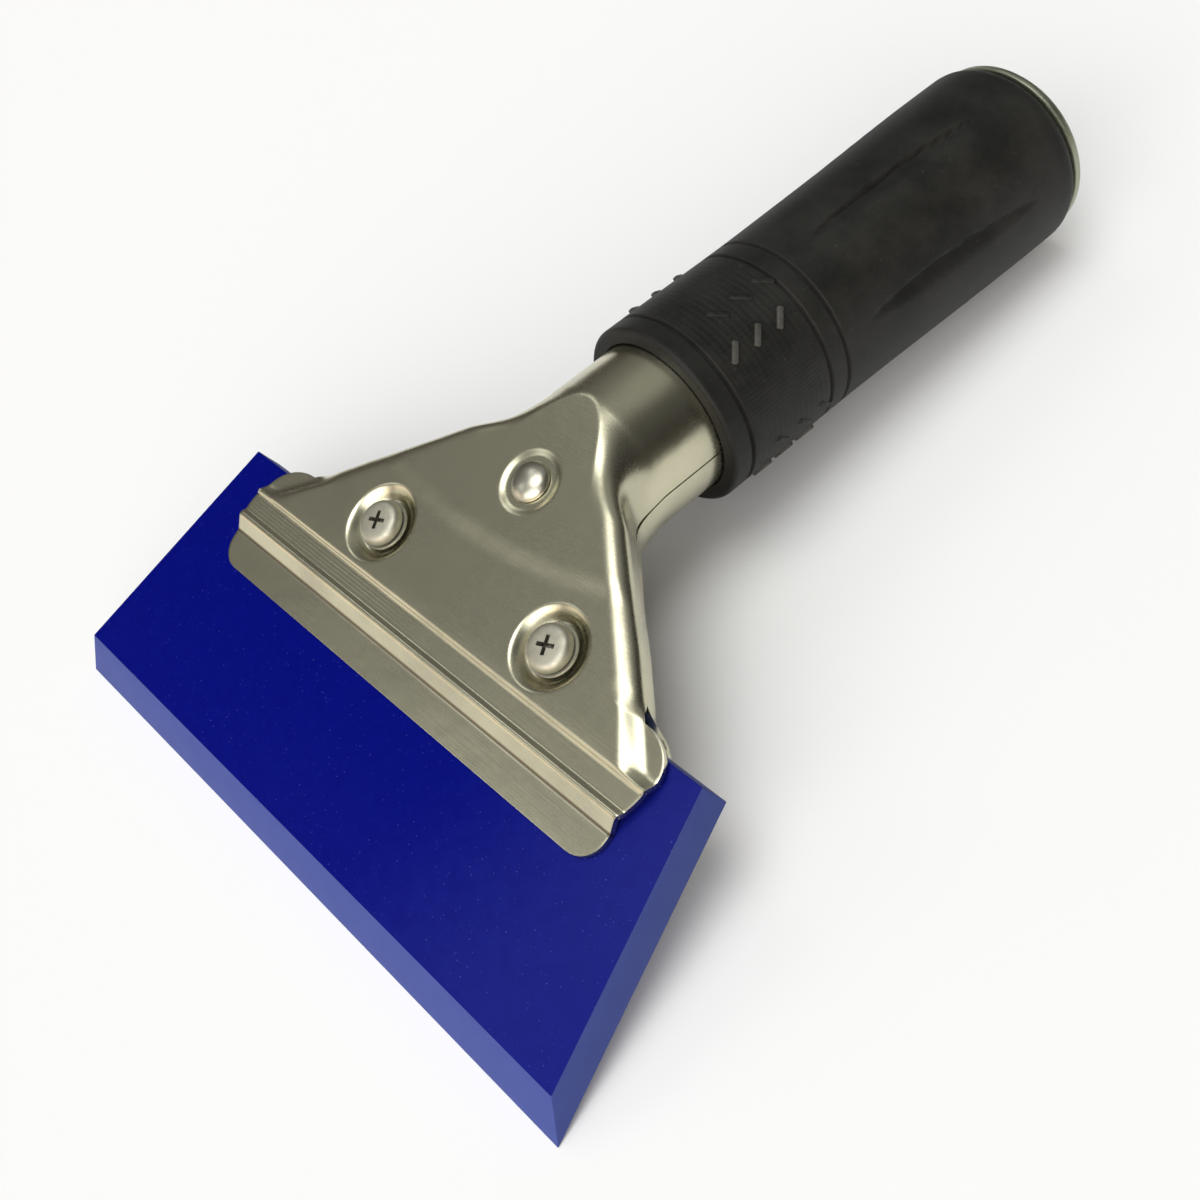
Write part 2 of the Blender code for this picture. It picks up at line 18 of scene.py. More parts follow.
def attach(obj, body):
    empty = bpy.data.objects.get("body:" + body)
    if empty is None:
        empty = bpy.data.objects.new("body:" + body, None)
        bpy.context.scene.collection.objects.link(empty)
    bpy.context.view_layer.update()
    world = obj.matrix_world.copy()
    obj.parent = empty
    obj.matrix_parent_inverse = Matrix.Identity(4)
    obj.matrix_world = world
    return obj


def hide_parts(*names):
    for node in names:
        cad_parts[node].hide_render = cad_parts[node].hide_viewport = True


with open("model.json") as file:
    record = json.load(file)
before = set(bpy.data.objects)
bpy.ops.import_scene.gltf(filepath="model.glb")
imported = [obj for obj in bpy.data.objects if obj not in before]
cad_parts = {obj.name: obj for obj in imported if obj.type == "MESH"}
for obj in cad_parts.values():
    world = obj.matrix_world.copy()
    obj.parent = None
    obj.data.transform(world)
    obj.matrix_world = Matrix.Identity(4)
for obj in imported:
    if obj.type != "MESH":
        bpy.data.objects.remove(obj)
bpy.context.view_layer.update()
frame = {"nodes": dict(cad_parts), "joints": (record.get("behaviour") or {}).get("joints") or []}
MM = 0.001

# %% [markdown]
# ## Two working frames
# Everything on the clamp head is square to the head, but the head lies tilted on the table. It
# could be modelled in place with tilted numbers; it is easier to model it square, with the
# rivet's axis as z, and to tilt each finished piece once. The screws' axes in the record say
# where the head is. The handle has a frame of its own, whose z runs down the tube.

# %% Head frame and handle frame
BEND, BEND_Y = math.radians(25.4), -2.3 * MM
SCREW_X, SCREW_Y, SCREW_UNDER = 20.55 * MM, -18.2 * MM, 5.525 * MM
joints = {joint["name"]: joint for joint in frame["joints"]}
left_at, right_at = (Vector(joints[f"{side}_screw_turn"]["pos_m"]) for side in ("left", "right"))
head_z = Vector(joints["left_screw_turn"]["axis"]).normalized()
head_x = (right_at - left_at).normalized()
head_y = head_z.cross(head_x)
head_at = (left_at + right_at) / 2 - head_y * SCREW_Y - head_z * SCREW_UNDER
HEAD = Matrix.Translation(head_at) @ Matrix((head_x, head_y, head_z)).transposed().to_4x4()
HANDLE = (HEAD @ Matrix.Translation((0, BEND_Y, 0))
          @ Matrix.Rotation(-(math.pi / 2 + BEND), 4, "X"))
print("head tilt in degrees", round(math.degrees(math.asin(head_y.z)), 2))

# %% [markdown]
# ## The camera
# The photograph was taken from close by, above the right front of the tool. The lens and the
# place come from matching the screws, the blade's corners and the grip's rings.

# %% Camera
VIEW = Matrix(((0.6656199, -0.4503800, 0.5950697, 0.15062957),
               (0.5720081, 0.8200236, -0.0191872, -0.00940723),
               (-0.4793297, 0.3531560, 0.8034450, 0.18174800),
               (0, 0, 0, 1)))
lens = bpy.data.cameras.new("photo_lens")
lens.sensor_width, lens.lens = 36.0, 46.238
lens.shift_x, lens.shift_y = -0.001425, -0.023059
lens.clip_start, lens.clip_end = 0.005, 20.0
camera = bpy.data.objects.new("photo_camera", lens)
bpy.context.scene.collection.objects.link(camera)
camera.matrix_world = HEAD @ VIEW
bpy.context.scene.camera = camera
bpy.context.scene.view_settings.view_transform = "Standard"
print("camera at", [round(v, 4) for v in camera.matrix_world.translation])

# %% [markdown]
# ## Small helpers
# Operators work on what is selected, so every step starts by setting the selection. Faces are
# picked by a test of their place or normal, as one would pick them by eye.

# %% Selecting and editing
def activate(*objects):
    bpy.ops.object.select_all(action="DESELECT")
    for obj in objects:
        obj.select_set(True)
    bpy.context.view_layer.objects.active = objects[0]


def open_mesh(obj, select):
    """Enter edit mode with all vertices selected or none."""
    activate(obj)
    bpy.ops.object.mode_set(mode="EDIT")
    bpy.ops.mesh.select_mode(type="VERT")
    bpy.ops.mesh.select_all(action="SELECT" if select else "DESELECT")


def close_mesh():
    bpy.ops.object.mode_set(mode="OBJECT")


def choose_faces(obj, test):
    """Select the faces of the open mesh that pass the test; say how many."""
    bpy.ops.mesh.select_mode(type="FACE")
    bpy.ops.mesh.select_all(action="DESELECT")
    mesh = bmesh.from_edit_mesh(obj.data)
    hits = [face for face in mesh.faces if test(face)]
    for face in hits:
        face.select_set(True)
    bmesh.update_edit_mesh(obj.data)
    return len(hits)


def apply(obj, kind, **settings):
    """Add a modifier with its settings and apply it."""
    activate(obj)
    mod = obj.modifiers.new(kind.lower(), kind)
    for key, value in settings.items():
        setattr(mod, key, value)
    bpy.ops.object.modifier_apply(modifier=mod.name)

# %% [markdown]
# Every piece is finished in the same few steps. It is put where it belongs and its transform is
# applied, so that its object sits at the origin. Its round surfaces are shaded smooth. Then it is
# handed to the body that moves it, in place of its plain solids. A piece that repeats is copied
# with its own mesh.

# %% Placing, shading and handing over
def place(obj, frame_matrix):
    """Put a piece modelled at the origin where it belongs, and apply its transform."""
    activate(obj)
    obj.matrix_world = frame_matrix
    bpy.ops.object.transform_apply(location=True, rotation=True, scale=True)


def shade(obj, degrees):
    """Smooth shading, but for edges sharper than an angle."""
    activate(obj)
    bpy.ops.object.shade_smooth_by_angle(angle=math.radians(degrees))


def copied(obj, name):
    """A copy with its own mesh."""
    twin = obj.copy()
    twin.data = obj.data.copy()
    twin.name = twin.data.name = name
    bpy.context.scene.collection.objects.link(twin)
    return twin


def install(obj, body, slot, *nodes, material=None):
    """Hand a finished piece to a moving body, in place of its plain solids."""
    if material is not None:
        obj.data.materials.clear()
        obj.data.materials.append(material)
    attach(obj, body)
    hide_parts(*nodes)
    print(obj.name, "on", body, "with", len(obj.data.polygons), "faces")

# %% [markdown]
# A turned piece, such as a rivet or the grip's sleeve, is drawn as half of its outline and
# spun round its axis. The outline starts as one vertex, which is extruded from point to point.

# %% Turning
DOT = 0.2 * MM


def drawn(name, points):
    """A line drawn point by point in the xz plane."""
    bpy.ops.mesh.primitive_plane_add(size=DOT, location=(0, 0, 0))
    obj = bpy.context.active_object
    obj.name = obj.data.name = name
    open_mesh(obj, select=True)
    bpy.ops.mesh.merge(type="CENTER")
    bpy.ops.transform.translate(value=(points[0][0], 0, points[0][1]))
    for (r0, z0), (r1, z1) in zip(points, points[1:]):
        step = (r1 - r0, 0, z1 - z0)
        bpy.ops.mesh.extrude_vertices_move(TRANSFORM_OT_translate={"value": step})
    close_mesh()
    return obj


def turned(name, outline, steps, loop=False):
    """Spin an outline of (radius, height) points round z; a loop is closed on itself first."""
    obj = drawn(name, outline + outline[:1] if loop else outline)
    open_mesh(obj, select=True)
    bpy.ops.mesh.spin(steps=steps, angle=math.tau, center=(0, 0, 0), axis=(0, 0, 1))
    bpy.ops.mesh.select_all(action="SELECT")
    bpy.ops.mesh.remove_doubles(threshold=1e-6)
    bpy.ops.mesh.normals_make_consistent(inside=False)
    close_mesh()
    return obj

# %% [markdown]
# ## Writing shaders as sums
# A finish is easier to read as arithmetic than as a list of wires. This small class wraps a
# socket, so that `a * 2 + b` adds the Math nodes.

# %% One wire
class Wire:
    def __init__(self, sheet, socket):
        self.sheet, self.socket = sheet, socket

    def __add__(self, other):
        return self.sheet.maths("ADD", self, other)

    def __sub__(self, other):
        return self.sheet.maths("SUBTRACT", self, other)

    def __mul__(self, other):
        return self.sheet.maths("MULTIPLY", self, other)

    def __rsub__(self, other):
        return self.sheet.maths("SUBTRACT", other, self)

    __radd__, __rmul__ = __add__, __mul__

# %% [markdown]
# Every node comes from one method, `node`. The methods below it are short names for the few nodes
# that a finish uses again and again: sums, place, noise, soft step, blend of colours and relief.

# %% The node sheet of a finish
class Sheet:
    """The node sheet of one finish, or of the room's sky."""

    def __init__(self, owner, shader, **constants):
        owner.use_nodes = True
        self.owner, self.tree = owner, owner.node_tree
        self.shader = self.tree.nodes[shader]
        self.finish(**constants)

    def node(self, kind, settings, sockets, out=0):
        """Add a node: its settings first, then the values or links of its sockets."""
        made = self.tree.nodes.new(kind)
        for key, value in settings.items():
            setattr(made, key, value)
        for key, value in sockets.items():
            self.plug(value, made.inputs[key])
        if out == "all":
            return [Wire(self, socket) for socket in made.outputs]
        return Wire(self, made.outputs[out])

    def plug(self, value, socket):
        if isinstance(value, Wire):
            self.tree.links.new(value.socket, socket)
        elif socket.type == "RGBA":
            socket.default_value = (*value, 1.0)
        else:
            socket.default_value = value

    def finish(self, **values):
        """Set or link sockets of the shader; give back the material or the world."""
        for key, value in values.items():
            self.plug(value, self.shader.inputs[key.replace("_", " ")])
        return self.owner

    def maths(self, operation, *values):
        return self.node("ShaderNodeMath", {"operation": operation}, dict(enumerate(values)))

    def where(self, frame_matrix, stretch=(1, 1, 1)):
        """Place in mm in one of the working frames, stretched if a pattern asks for it."""
        back = frame_matrix.inverted()
        spot = self.node("ShaderNodeMapping", {"vector_type": "POINT"}, {
            "Vector": self.node("ShaderNodeTexCoord", {}, {}, out="Object"),
            "Location": back.translation / MM, "Rotation": back.to_euler(),
            "Scale": (1 / MM,) * 3})
        if stretch == (1, 1, 1):
            return spot
        return self.node("ShaderNodeVectorMath", {"operation": "MULTIPLY"}, {0: spot, 1: stretch})

    def axes(self, spot):
        return self.node("ShaderNodeSeparateXYZ", {}, {0: spot}, out="all")

    def noise(self, spot, scale, detail=2.0, rough=0.5):
        return self.node("ShaderNodeTexNoise", {}, {
            "Vector": spot, "Scale": scale, "Detail": detail, "Roughness": rough}, out="Fac")

    def ramp(self, value, low, high, start=0.0, end=1.0):
        """Smooth step of a value between two levels."""
        return self.node("ShaderNodeMapRange", {"interpolation_type": "SMOOTHSTEP"}, {
            "Value": value, "From Min": low, "From Max": high, "To Min": start, "To Max": end})

    def blend(self, factor, first, second):
        """Mix of two colours; sockets 6 and 7 and output 2 are the Mix node's colours."""
        return self.node("ShaderNodeMix", {"data_type": "RGBA"},
                         {"Factor": factor, 6: first, 7: second}, out=2)

    def relief(self, height_mm):
        """Bump of a height in mm."""
        return self.node("ShaderNodeBump", {}, {"Height": height_mm, "Distance": MM})


def new_finish(name, **constants):
    return Sheet(bpy.data.materials.new(name), "Principled BSDF", **constants)

# %% [markdown]
# ## The pressed jaws and neck
# Each shell is one sheet of 1 mm stainless steel, pressed in a die: a flat lip over the blade, a
# step up, a bead and a channel, a flat field, then the fan that folds down and closes into the
# tube. A die surface is easiest to say as a row of cross sections, so a flat grid is laid over
# the sections and thickened afterwards. Modelling it face by face would lose the even bends.
# Three small functions do most of the shaping: a soft step, a mix and a row of even steps.

# %% Steps and mixes
def smooth(value, low, high):
    """A soft step from 0 at the low value to 1 at the high one."""
    t = min(1.0, max(0.0, (value - low) / (high - low)))
    return t * t * (3 - 2 * t)


def mix(a, b, t):
    return a + (b - a) * t


def steps(start, end, count):
    """Places from just after the start up to the end."""
    return [mix(start, end, k / count) for k in range(1, count + 1)]

# %% [markdown]
# Half of each cross section is a short line of points from the middle outwards: flat, folded down
# at its side, or round as the tube. It is laid out again at even distances, so that the grid's
# columns run smoothly from the broad jaw into the tube.

# %% Section outlines
ACROSS = 84
TUBE_R = 13.4 * MM


def even(points, count=ACROSS):
    """The same outline with count equal steps."""
    spots = np.array(points)
    run = np.concatenate(([0], np.cumsum(np.hypot(*np.diff(spots, axis=0).T))))
    at = np.linspace(0, run[-1], count + 1)
    return np.stack([np.interp(at, run, spots[:, 0]), np.interp(at, run, spots[:, 1])], axis=1)


def flat_outline(half, height):
    return even([(0, height), (half, height)])


def folded_outline(half, height, roll, edge):
    """Flat on top, rolled down over an oval corner (width, depth), down to the sheet's edge."""
    arc = [(half - roll[0] * (1 - math.sin(a)), height - roll[1] * (1 - math.cos(a)))
           for a in np.linspace(0, math.pi / 2, 25)]
    return even([(0, height), *arc, (half, edge)])


def tube_outline(height, edge):
    """The round tube, cut flat where the field runs out over it."""
    flat = math.sqrt(max(0, TUBE_R ** 2 - height ** 2))
    turns = np.linspace(math.atan2(flat, height), math.acos(edge / TUBE_R), 65)
    return even([(0, height), *((TUBE_R * math.sin(a), TUBE_R * math.cos(a)) for a in turns)])

# %% [markdown]
# Seen from the side, the jaw's front goes up in steps. The lip lies on the blade, a steep riser
# leads up to a narrow bead, a shallow channel runs behind it, and then comes the field. The field
# has a faint curved step of its own before the rivet, left by the die; it catches the light.

# %% Profile of the jaw's front
LIP_TOP, FIELD_Z = 4.475 * MM, 6.275 * MM
RISER_Y, RISER_RUN, RISER_EASE = -33.3 * MM, (-0.2 * MM, 2.2 * MM), 0.22 * MM
GROOVE_FRONT_Y, GROOVE_BACK_Y, GROOVE_DEPTH = -30.4 * MM, -25.6 * MM, 0.6 * MM
STEP_Y, STEP_HALF, STEP_DEPTH = -10.8 * MM, 2.3 * MM, 0.26 * MM
STEP_BOW, STEP_LEAN, STEP_REACH = 2.0 * MM, 1.2 * MM, 20 * MM


def straight_step(value, low, high, ease):
    """A step with a straight slope and its two bends rounded over a length."""
    def run(t):
        return 0.0 if t < 0 else t * t / 2 if t < 1 else t - 0.5
    width = high - low
    rise = run((value + ease - low) / width) - run((value - ease - low) / width)
    return rise * width / (2 * ease)


def jaw_height(y):
    """Height of the die's front: lip, step, bead, channel and field."""
    step = straight_step(y, RISER_Y + RISER_RUN[0], RISER_Y + RISER_RUN[1], RISER_EASE)
    channel = (smooth(y, GROOVE_FRONT_Y - 0.3 * MM, GROOVE_FRONT_Y + 0.7 * MM)
               - smooth(y, GROOVE_BACK_Y - 1.1 * MM, GROOVE_BACK_Y - 0.1 * MM))
    return mix(LIP_TOP, FIELD_Z, step) - GROOVE_DEPTH * channel


def field_relief(x, y):
    """The field in front of the faint curved step lies a little lower."""
    line = STEP_Y + STEP_BOW * (x / STEP_REACH) ** 2 + STEP_LEAN * x / STEP_REACH
    front = 1 - smooth(y, line - STEP_HALF, line + STEP_HALF)
    return STEP_DEPTH * front * smooth(y, -24 * MM, -16 * MM)


print("heights in mm of lip, bead, channel and field",
      [round(jaw_height(y * MM) / MM, 2) for y in (-36, -30.8, -28, -24)])

# %% [markdown]
# Seen from above, the lip has round corners, the ears behind it are a little wider, and the fan
# narrows at 45 degrees until it eases into the tube.

# %% Half widths
LIP_FRONT_Y, LIP_CORNER, LIP_HALF = -38.9 * MM, 4.3 * MM, 46.9 * MM
EAR_HALF, EAR_Y = 47.5 * MM, -24.8 * MM
FAN_Y, FAN_REACH, FAN_EASE = -18.8 * MM, 21.2 * MM, 1.6 * MM


def fan_half(y):
    """Half width of the fan: a 45 degree line that eases into the tube."""
    over = (FAN_REACH - y - TUBE_R) / FAN_EASE
    return TUBE_R + FAN_EASE * (over if over > 30 else math.log1p(math.exp(over)))


def jaw_half(y, ear_y, fan_y, inset):
    """Half width of the front: round lip corners, then the ears that round off to the fan."""
    if y < LIP_FRONT_Y + LIP_CORNER:
        left = 1 - (y - LIP_FRONT_Y) / LIP_CORNER
        return LIP_HALF - LIP_CORNER * (1 - math.sqrt(1 - left ** 2))
    if y <= ear_y:
        return mix(LIP_HALF, EAR_HALF, smooth(y, RISER_Y + 1 * MM, GROOVE_BACK_Y - 2 * MM))
    t = min(1.0, (y - ear_y) / (fan_y - ear_y))
    return mix(EAR_HALF, fan_half(fan_y) - inset, 1 - math.sqrt(1 - t ** 2))


print("half widths in mm at the lip, the ears and the fan",
      [round(jaw_half(y * MM, EAR_Y, FAN_Y, 0) / MM, 2) for y in (-34, -25, -19)])

# %% [markdown]
# The sides are turned down to stiffen the sheet. At the upper shell's ears it only steps down
# over a soft crease; along the fan it rolls over an oval corner to a flange of 3.6 mm. The lower
# shell is narrower, so that it fits between, and it folds right up to the seam.

# %% Sides turned down
SHEET, REST_GAP = 1.0 * MM, 0.3 * MM
SEAM = REST_GAP / 2
UPPER_ROLL, UPPER_FLANGE = (5.2 * MM, 3.0 * MM), 3.6 * MM
LOWER_ROLL, LOWER_TURN = (5.2 * MM, 5.2 * MM), (-20.6 * MM, -16.8 * MM)
EAR_DROP, EAR_CREASE, EAR_FADE = 1.3 * MM, (0.4 * MM, 5.4 * MM), (-26.4 * MM, -24.2 * MM)
FULL_ROLL_Y = -15.4 * MM


def ear_outline(half, height, start):
    """A flat section that steps down over a soft crease, to a nearly flat ear."""
    xs = np.linspace(0, half, 200)
    drop = [EAR_DROP * smooth(x, start + EAR_CREASE[0], start + EAR_CREASE[1]) for x in xs]
    return even(list(zip(xs, height - np.array(drop))))


def turned_down(side, y, half, height):
    """A section with its ends turned down: a crease at the ears, the full roll along the fan."""
    flat = flat_outline(half, height)
    if side < 0:
        return mix(flat, folded_outline(half, height, LOWER_ROLL, SEAM), smooth(y, *LOWER_TURN))
    start = fan_half(y) - UPPER_ROLL[0]
    ear = mix(flat, ear_outline(half, height, start), smooth(y, *EAR_FADE))
    folded = folded_outline(half, height, UPPER_ROLL, height - UPPER_FLANGE)
    return mix(ear, folded, smooth(y, FAN_Y, FULL_ROLL_Y))

# %% [markdown]
# Now the sections are set in a row, closer together where the sheet bends more. Each one has its
# middle, the direction that is up for it, and its outline. The front first: lip, riser, bead,
# channel and ears, then the flat part of the fan.

# %% Sections of the jaw and the fan
JAW_SHIFT, FLAT_END_Y = -1.6 * MM, -11.0 * MM
JAW_STRETCHES = ((-33.7, 3), (-31.7, 11), (-30.9, 3), (-29.5, 9), (-26.8, 6), (-25.6, 8))


def jaw_places(ear_y, fan_y):
    """Places along y: dense at the lip's corners and the bends, then round the ears."""
    quarter = np.linspace(0, math.pi / 2, 9)
    places = [LIP_FRONT_Y + LIP_CORNER * (1 - math.cos(a)) for a in quarter]
    start = places[-1]
    for end, count in JAW_STRETCHES:
        places += steps(start, end * MM, count)
        start = end * MM
    if ear_y > start:
        places.append(ear_y)
    return places + [mix(ear_y, fan_y, math.sin(a)) for a in np.linspace(0, math.pi / 2, 13)[1:-1]]


def jaw_sections(side, ear_y, fan_y, inset):
    rows = []
    for y in jaw_places(ear_y, fan_y):
        middle = Vector((JAW_SHIFT * (1 - smooth(y, RISER_Y, FAN_Y)), y, 0))
        half, height = jaw_half(y, ear_y, fan_y, inset), jaw_height(y)
        rows.append((middle, Vector((0, 0, side)), turned_down(side, y, half, height)))
    return rows


def fan_sections(side, fan_y, inset):
    return [(Vector((0, y, 0)), Vector((0, 0, side)),
             turned_down(side, y, fan_half(y) - inset, FIELD_Z))
            for y in [fan_y] + steps(fan_y, FLAT_END_Y, 18)[:-1]]

# %% [markdown]
# From the end of the flat fan the underside slopes down, the folded outline opens into a round
# one, and the sections lean over until they stand square to the tube. The tube runs on inside the
# grip to its plug.

# %% Sections of the neck and the tube
TUBE_END, GRIP_START, TUBE_OVERLAP = 105.5 * MM, 25.8 * MM, 3 * MM
NECK_BLEND_Y, NECK_CORNER = 2.0 * MM, 6.0 * MM
AXIS_DIR = Vector((0, math.cos(BEND), -math.sin(BEND)))
AXIS_UP = Vector((0, math.sin(BEND), math.cos(BEND)))
AXIS_START = Vector((0, BEND_Y, 0))
NECK_AT = (TUBE_R * math.cos(BEND) - FIELD_Z) / math.sin(BEND)
NECK_TOP = AXIS_START + AXIS_DIR * NECK_AT + AXIS_UP * TUBE_R
NECK_LOW = AXIS_START + AXIS_DIR * NECK_AT - AXIS_UP * TUBE_R


def neck_sections(side, roll, inset, edge_front):
    rows = []
    for t in [0] + steps(0, 1, 60):
        top = Vector((0, FLAT_END_Y, FIELD_Z)).lerp(NECK_TOP, t)
        bottom = Vector((0, FLAT_END_Y, -FIELD_Z)).lerp(NECK_LOW, t)
        height = (top - bottom).length / 2
        half = fan_half(top.y) - inset * (1 - smooth(t, 0.2, 0.8))
        edge = mix(edge_front, SEAM, smooth(t, 0.35, 0.95))
        if side > 0:
            corner = [mix(r, NECK_CORNER, smooth(t, 0.5, 1)) for r in roll]
        else:
            corner = [mix(r, height * 0.8, smooth(t, 0, 0.7)) for r in roll]
        folded = folded_outline(half, height, corner, min(edge, (height - corner[1]) * 0.98))
        rounded = tube_outline(min(height, TUBE_R), SEAM)
        outline = mix(folded, rounded, smooth(top.y, NECK_BLEND_Y, NECK_TOP.y))
        rows.append(((top + bottom) / 2, (top - bottom).normalized() * side, outline))
    return rows


def tube_sections(side):
    under_grip = GRIP_START + TUBE_OVERLAP
    return [(AXIS_START + AXIS_DIR * along, AXIS_UP * side, tube_outline(TUBE_R, SEAM))
            for along in steps(NECK_AT, under_grip, 20) + steps(under_grip, TUBE_END, 8)]


print("the neck meets the tube", round(NECK_AT / MM, 2), "mm along its axis")

# %% [markdown]
# Both shells come from the same functions; side is 1 for the upper one and -1 for the lower one,
# which is its mirror below the seam. The grid has one row of vertices for each section.

# %% Lay a grid over the sections
LOWER_INSET, LOWER_FAN_Y = 2.4 * MM, -21.9 * MM


def shell_sections(side):
    """All sections of one shell, from the lip to the tube's end."""
    if side > 0:
        ear_y, fan_y, inset, roll, edge = EAR_Y, FAN_Y, 0, UPPER_ROLL, FIELD_Z - UPPER_FLANGE
    else:
        ear_y, fan_y, inset, roll, edge = GROOVE_BACK_Y, LOWER_FAN_Y, LOWER_INSET, LOWER_ROLL, SEAM
    return (jaw_sections(side, ear_y, fan_y, inset) + fan_sections(side, fan_y, inset)
            + neck_sections(side, roll, inset, edge) + tube_sections(side))


def laid_sheet(name, side):
    """A flat grid moved onto the die surface of one shell."""
    rows = shell_sections(side)
    bpy.ops.mesh.primitive_grid_add(x_subdivisions=2 * ACROSS, y_subdivisions=len(rows) - 1, size=1)
    obj = bpy.context.active_object
    obj.name = obj.data.name = name
    for vert in obj.data.vertices:
        column = round((vert.co.x + 0.5) * 2 * ACROSS) - ACROSS
        middle, out, outline = rows[round((vert.co.y + 0.5) * (len(rows) - 1))]
        x, height = outline[abs(column)]
        vert.co = middle + out * height + Vector((math.copysign(x, column), 0, 0))
        if side > 0:
            field = smooth(vert.co.z, 4.5 * MM, 6 * MM)
            vert.co.z -= field_relief(vert.co.x, vert.co.y) * field
    print(name, "rows", len(rows), "columns", 2 * ACROSS + 1)
    return obj

# %% [markdown]
# The dished seats for the screws and the shallow ring round the rivet are pressed into the sheet.
# The grid is made finer in a circle there, and its vertices sink by the bowl's outline; joining
# in separate bowls would leave slivers round them that spoil the reflections.

# %% Bowls pressed into a sheet
SEAT_Z, HOLE_R = 4.525 * MM, 2.3 * MM


def bowl(depth, inner, outer, count):
    """Outline in mm: level up to the inner radius, then a soft rise to the outer one."""
    return [(r, depth * (1 - smooth(r, inner, outer))) for r in np.linspace(inner, outer, count)]


def within(face, spot, radius):
    return (face.calc_center_median().xy - spot).length < radius


def pressed_bowl(sheet, side, x, y, outline):
    """Sink the sheet round a point by an outline of (radius, depth) in mm, and pierce it."""
    radii, depths = np.array(outline).T * MM
    spot = Vector((x, y))
    open_mesh(sheet, select=False)
    choose_faces(sheet, lambda f: within(f, spot, radii[-1] + 0.5 * MM) and f.normal.z > 0.5)
    bpy.ops.mesh.subdivide(number_cuts=2)
    close_mesh()
    for vert in sheet.data.vertices:
        reach = (vert.co.xy - spot).length
        if reach < radii[-1] and vert.co.z * side > 0:
            vert.co.z -= side * np.interp(reach, radii, depths)
    open_mesh(sheet, select=False)
    print("hole faces", choose_faces(sheet, lambda f: within(f, spot, HOLE_R)))
    bpy.ops.mesh.delete(type="FACE")
    close_mesh()


DISH, RIVET_RING = bowl(1.75, 4.25, 6.95, 27), bowl(0.32, 4.2, 5.7, 16)

# %% [markdown]
# The rivet's tail needs a level floor in the sloping underside: a round well. Its wall is far too
# steep for the grid, so it is cut with solids: a boss is added inside the sheet, then bored out.

# %% Well in the underside
WELL_Z, WELL_R = -9.775 * MM, 5.0 * MM
LOW_SLOPE = math.atan2(-FIELD_Z - NECK_LOW.z, NECK_LOW.y - FLAT_END_Y)


def cut(obj, cutter, operation="DIFFERENCE"):
    """Join or cut with another solid, which is used up."""
    apply(obj, "BOOLEAN", operation=operation, solver="EXACT", object=cutter)
    bpy.data.objects.remove(cutter)


def rod(radius, top, bottom):
    """A round bar on the rivet's axis."""
    bpy.ops.mesh.primitive_cylinder_add(vertices=72, radius=radius, depth=top - bottom,
                                        location=(0, 0, (top + bottom) / 2))
    bpy.ops.object.transform_apply(location=True)
    return bpy.context.active_object


def add_well(shell):
    """Add the boss, trimmed to the slope of the underside, and bore it out."""
    deep = WELL_Z - TUBE_R
    boss = rod(WELL_R + SHEET, WELL_Z + SHEET, deep)
    bpy.ops.mesh.primitive_cube_add(size=4 * TUBE_R)
    trim = bpy.context.active_object
    slope = Vector((0, math.sin(LOW_SLOPE), math.cos(LOW_SLOPE)))
    place(trim, Matrix.Translation(NECK_LOW + slope * (0.6 * SHEET - 2 * TUBE_R))
          @ Matrix.Rotation(-LOW_SLOPE, 4, "X"))
    cut(boss, trim)
    cut(shell, boss, "UNION")
    cut(shell, rod(WELL_R, WELL_Z, deep))
    cut(shell, rod(HOLE_R, 0, WELL_Z - 1 * MM))

# %% [markdown]
# Solidify gives the surface the sheet's thickness on its inner side, and a narrow bevel breaks
# the sheared edges, as tumbling does with real pressings. The lower shell is mirrored, so its
# faces are flipped first.

# %% One finished shell
CUT_EDGE, EDGE_ANGLE, SHADE_ANGLE = 0.13 * MM, math.radians(55), 38


def finished_shell(name, side, bowls, material):
    """Lay the sheet, press its bowls, give it 1 mm of thickness and break its cut edges."""
    sheet = laid_sheet(name, side)
    for x, y, outline in bowls:
        pressed_bowl(sheet, side, x, y, outline)
    if side < 0:
        open_mesh(sheet, select=True)
        bpy.ops.mesh.flip_normals()
        close_mesh()
    apply(sheet, "SOLIDIFY", thickness=SHEET, offset=-1.0, use_even_offset=True, use_rim=True)
    if side < 0:
        add_well(sheet)
    apply(sheet, "BEVEL", width=CUT_EDGE, segments=2, limit_method="ANGLE", angle_limit=EDGE_ANGLE)
    shade(sheet, SHADE_ANGLE)
    sheet.data.materials.append(material)
    place(sheet, HEAD)
    return sheet

# %% [markdown]
# ## Finishes
# The steel is mill finished stainless: warm grey, finely brushed along the blade, with faint
# blotches of wear. A picture of steel could be laid over it, but noise that is stretched along the
# blade has no seams and no edge. Colour stays nearly even; the roughness and a very small relief
# vary, which makes sheet metal look like metal rather than like paint. Two marks are local: fine
# ripples left by the die in the channel, and a dark line of painted shade in the corner behind
# the lip.

# %% Stainless sheet
# the second number places the line of painted shade in the corner behind the lip
RIPPLE_PITCH, CORNER_SHADE_Y = 0.58, -33.45


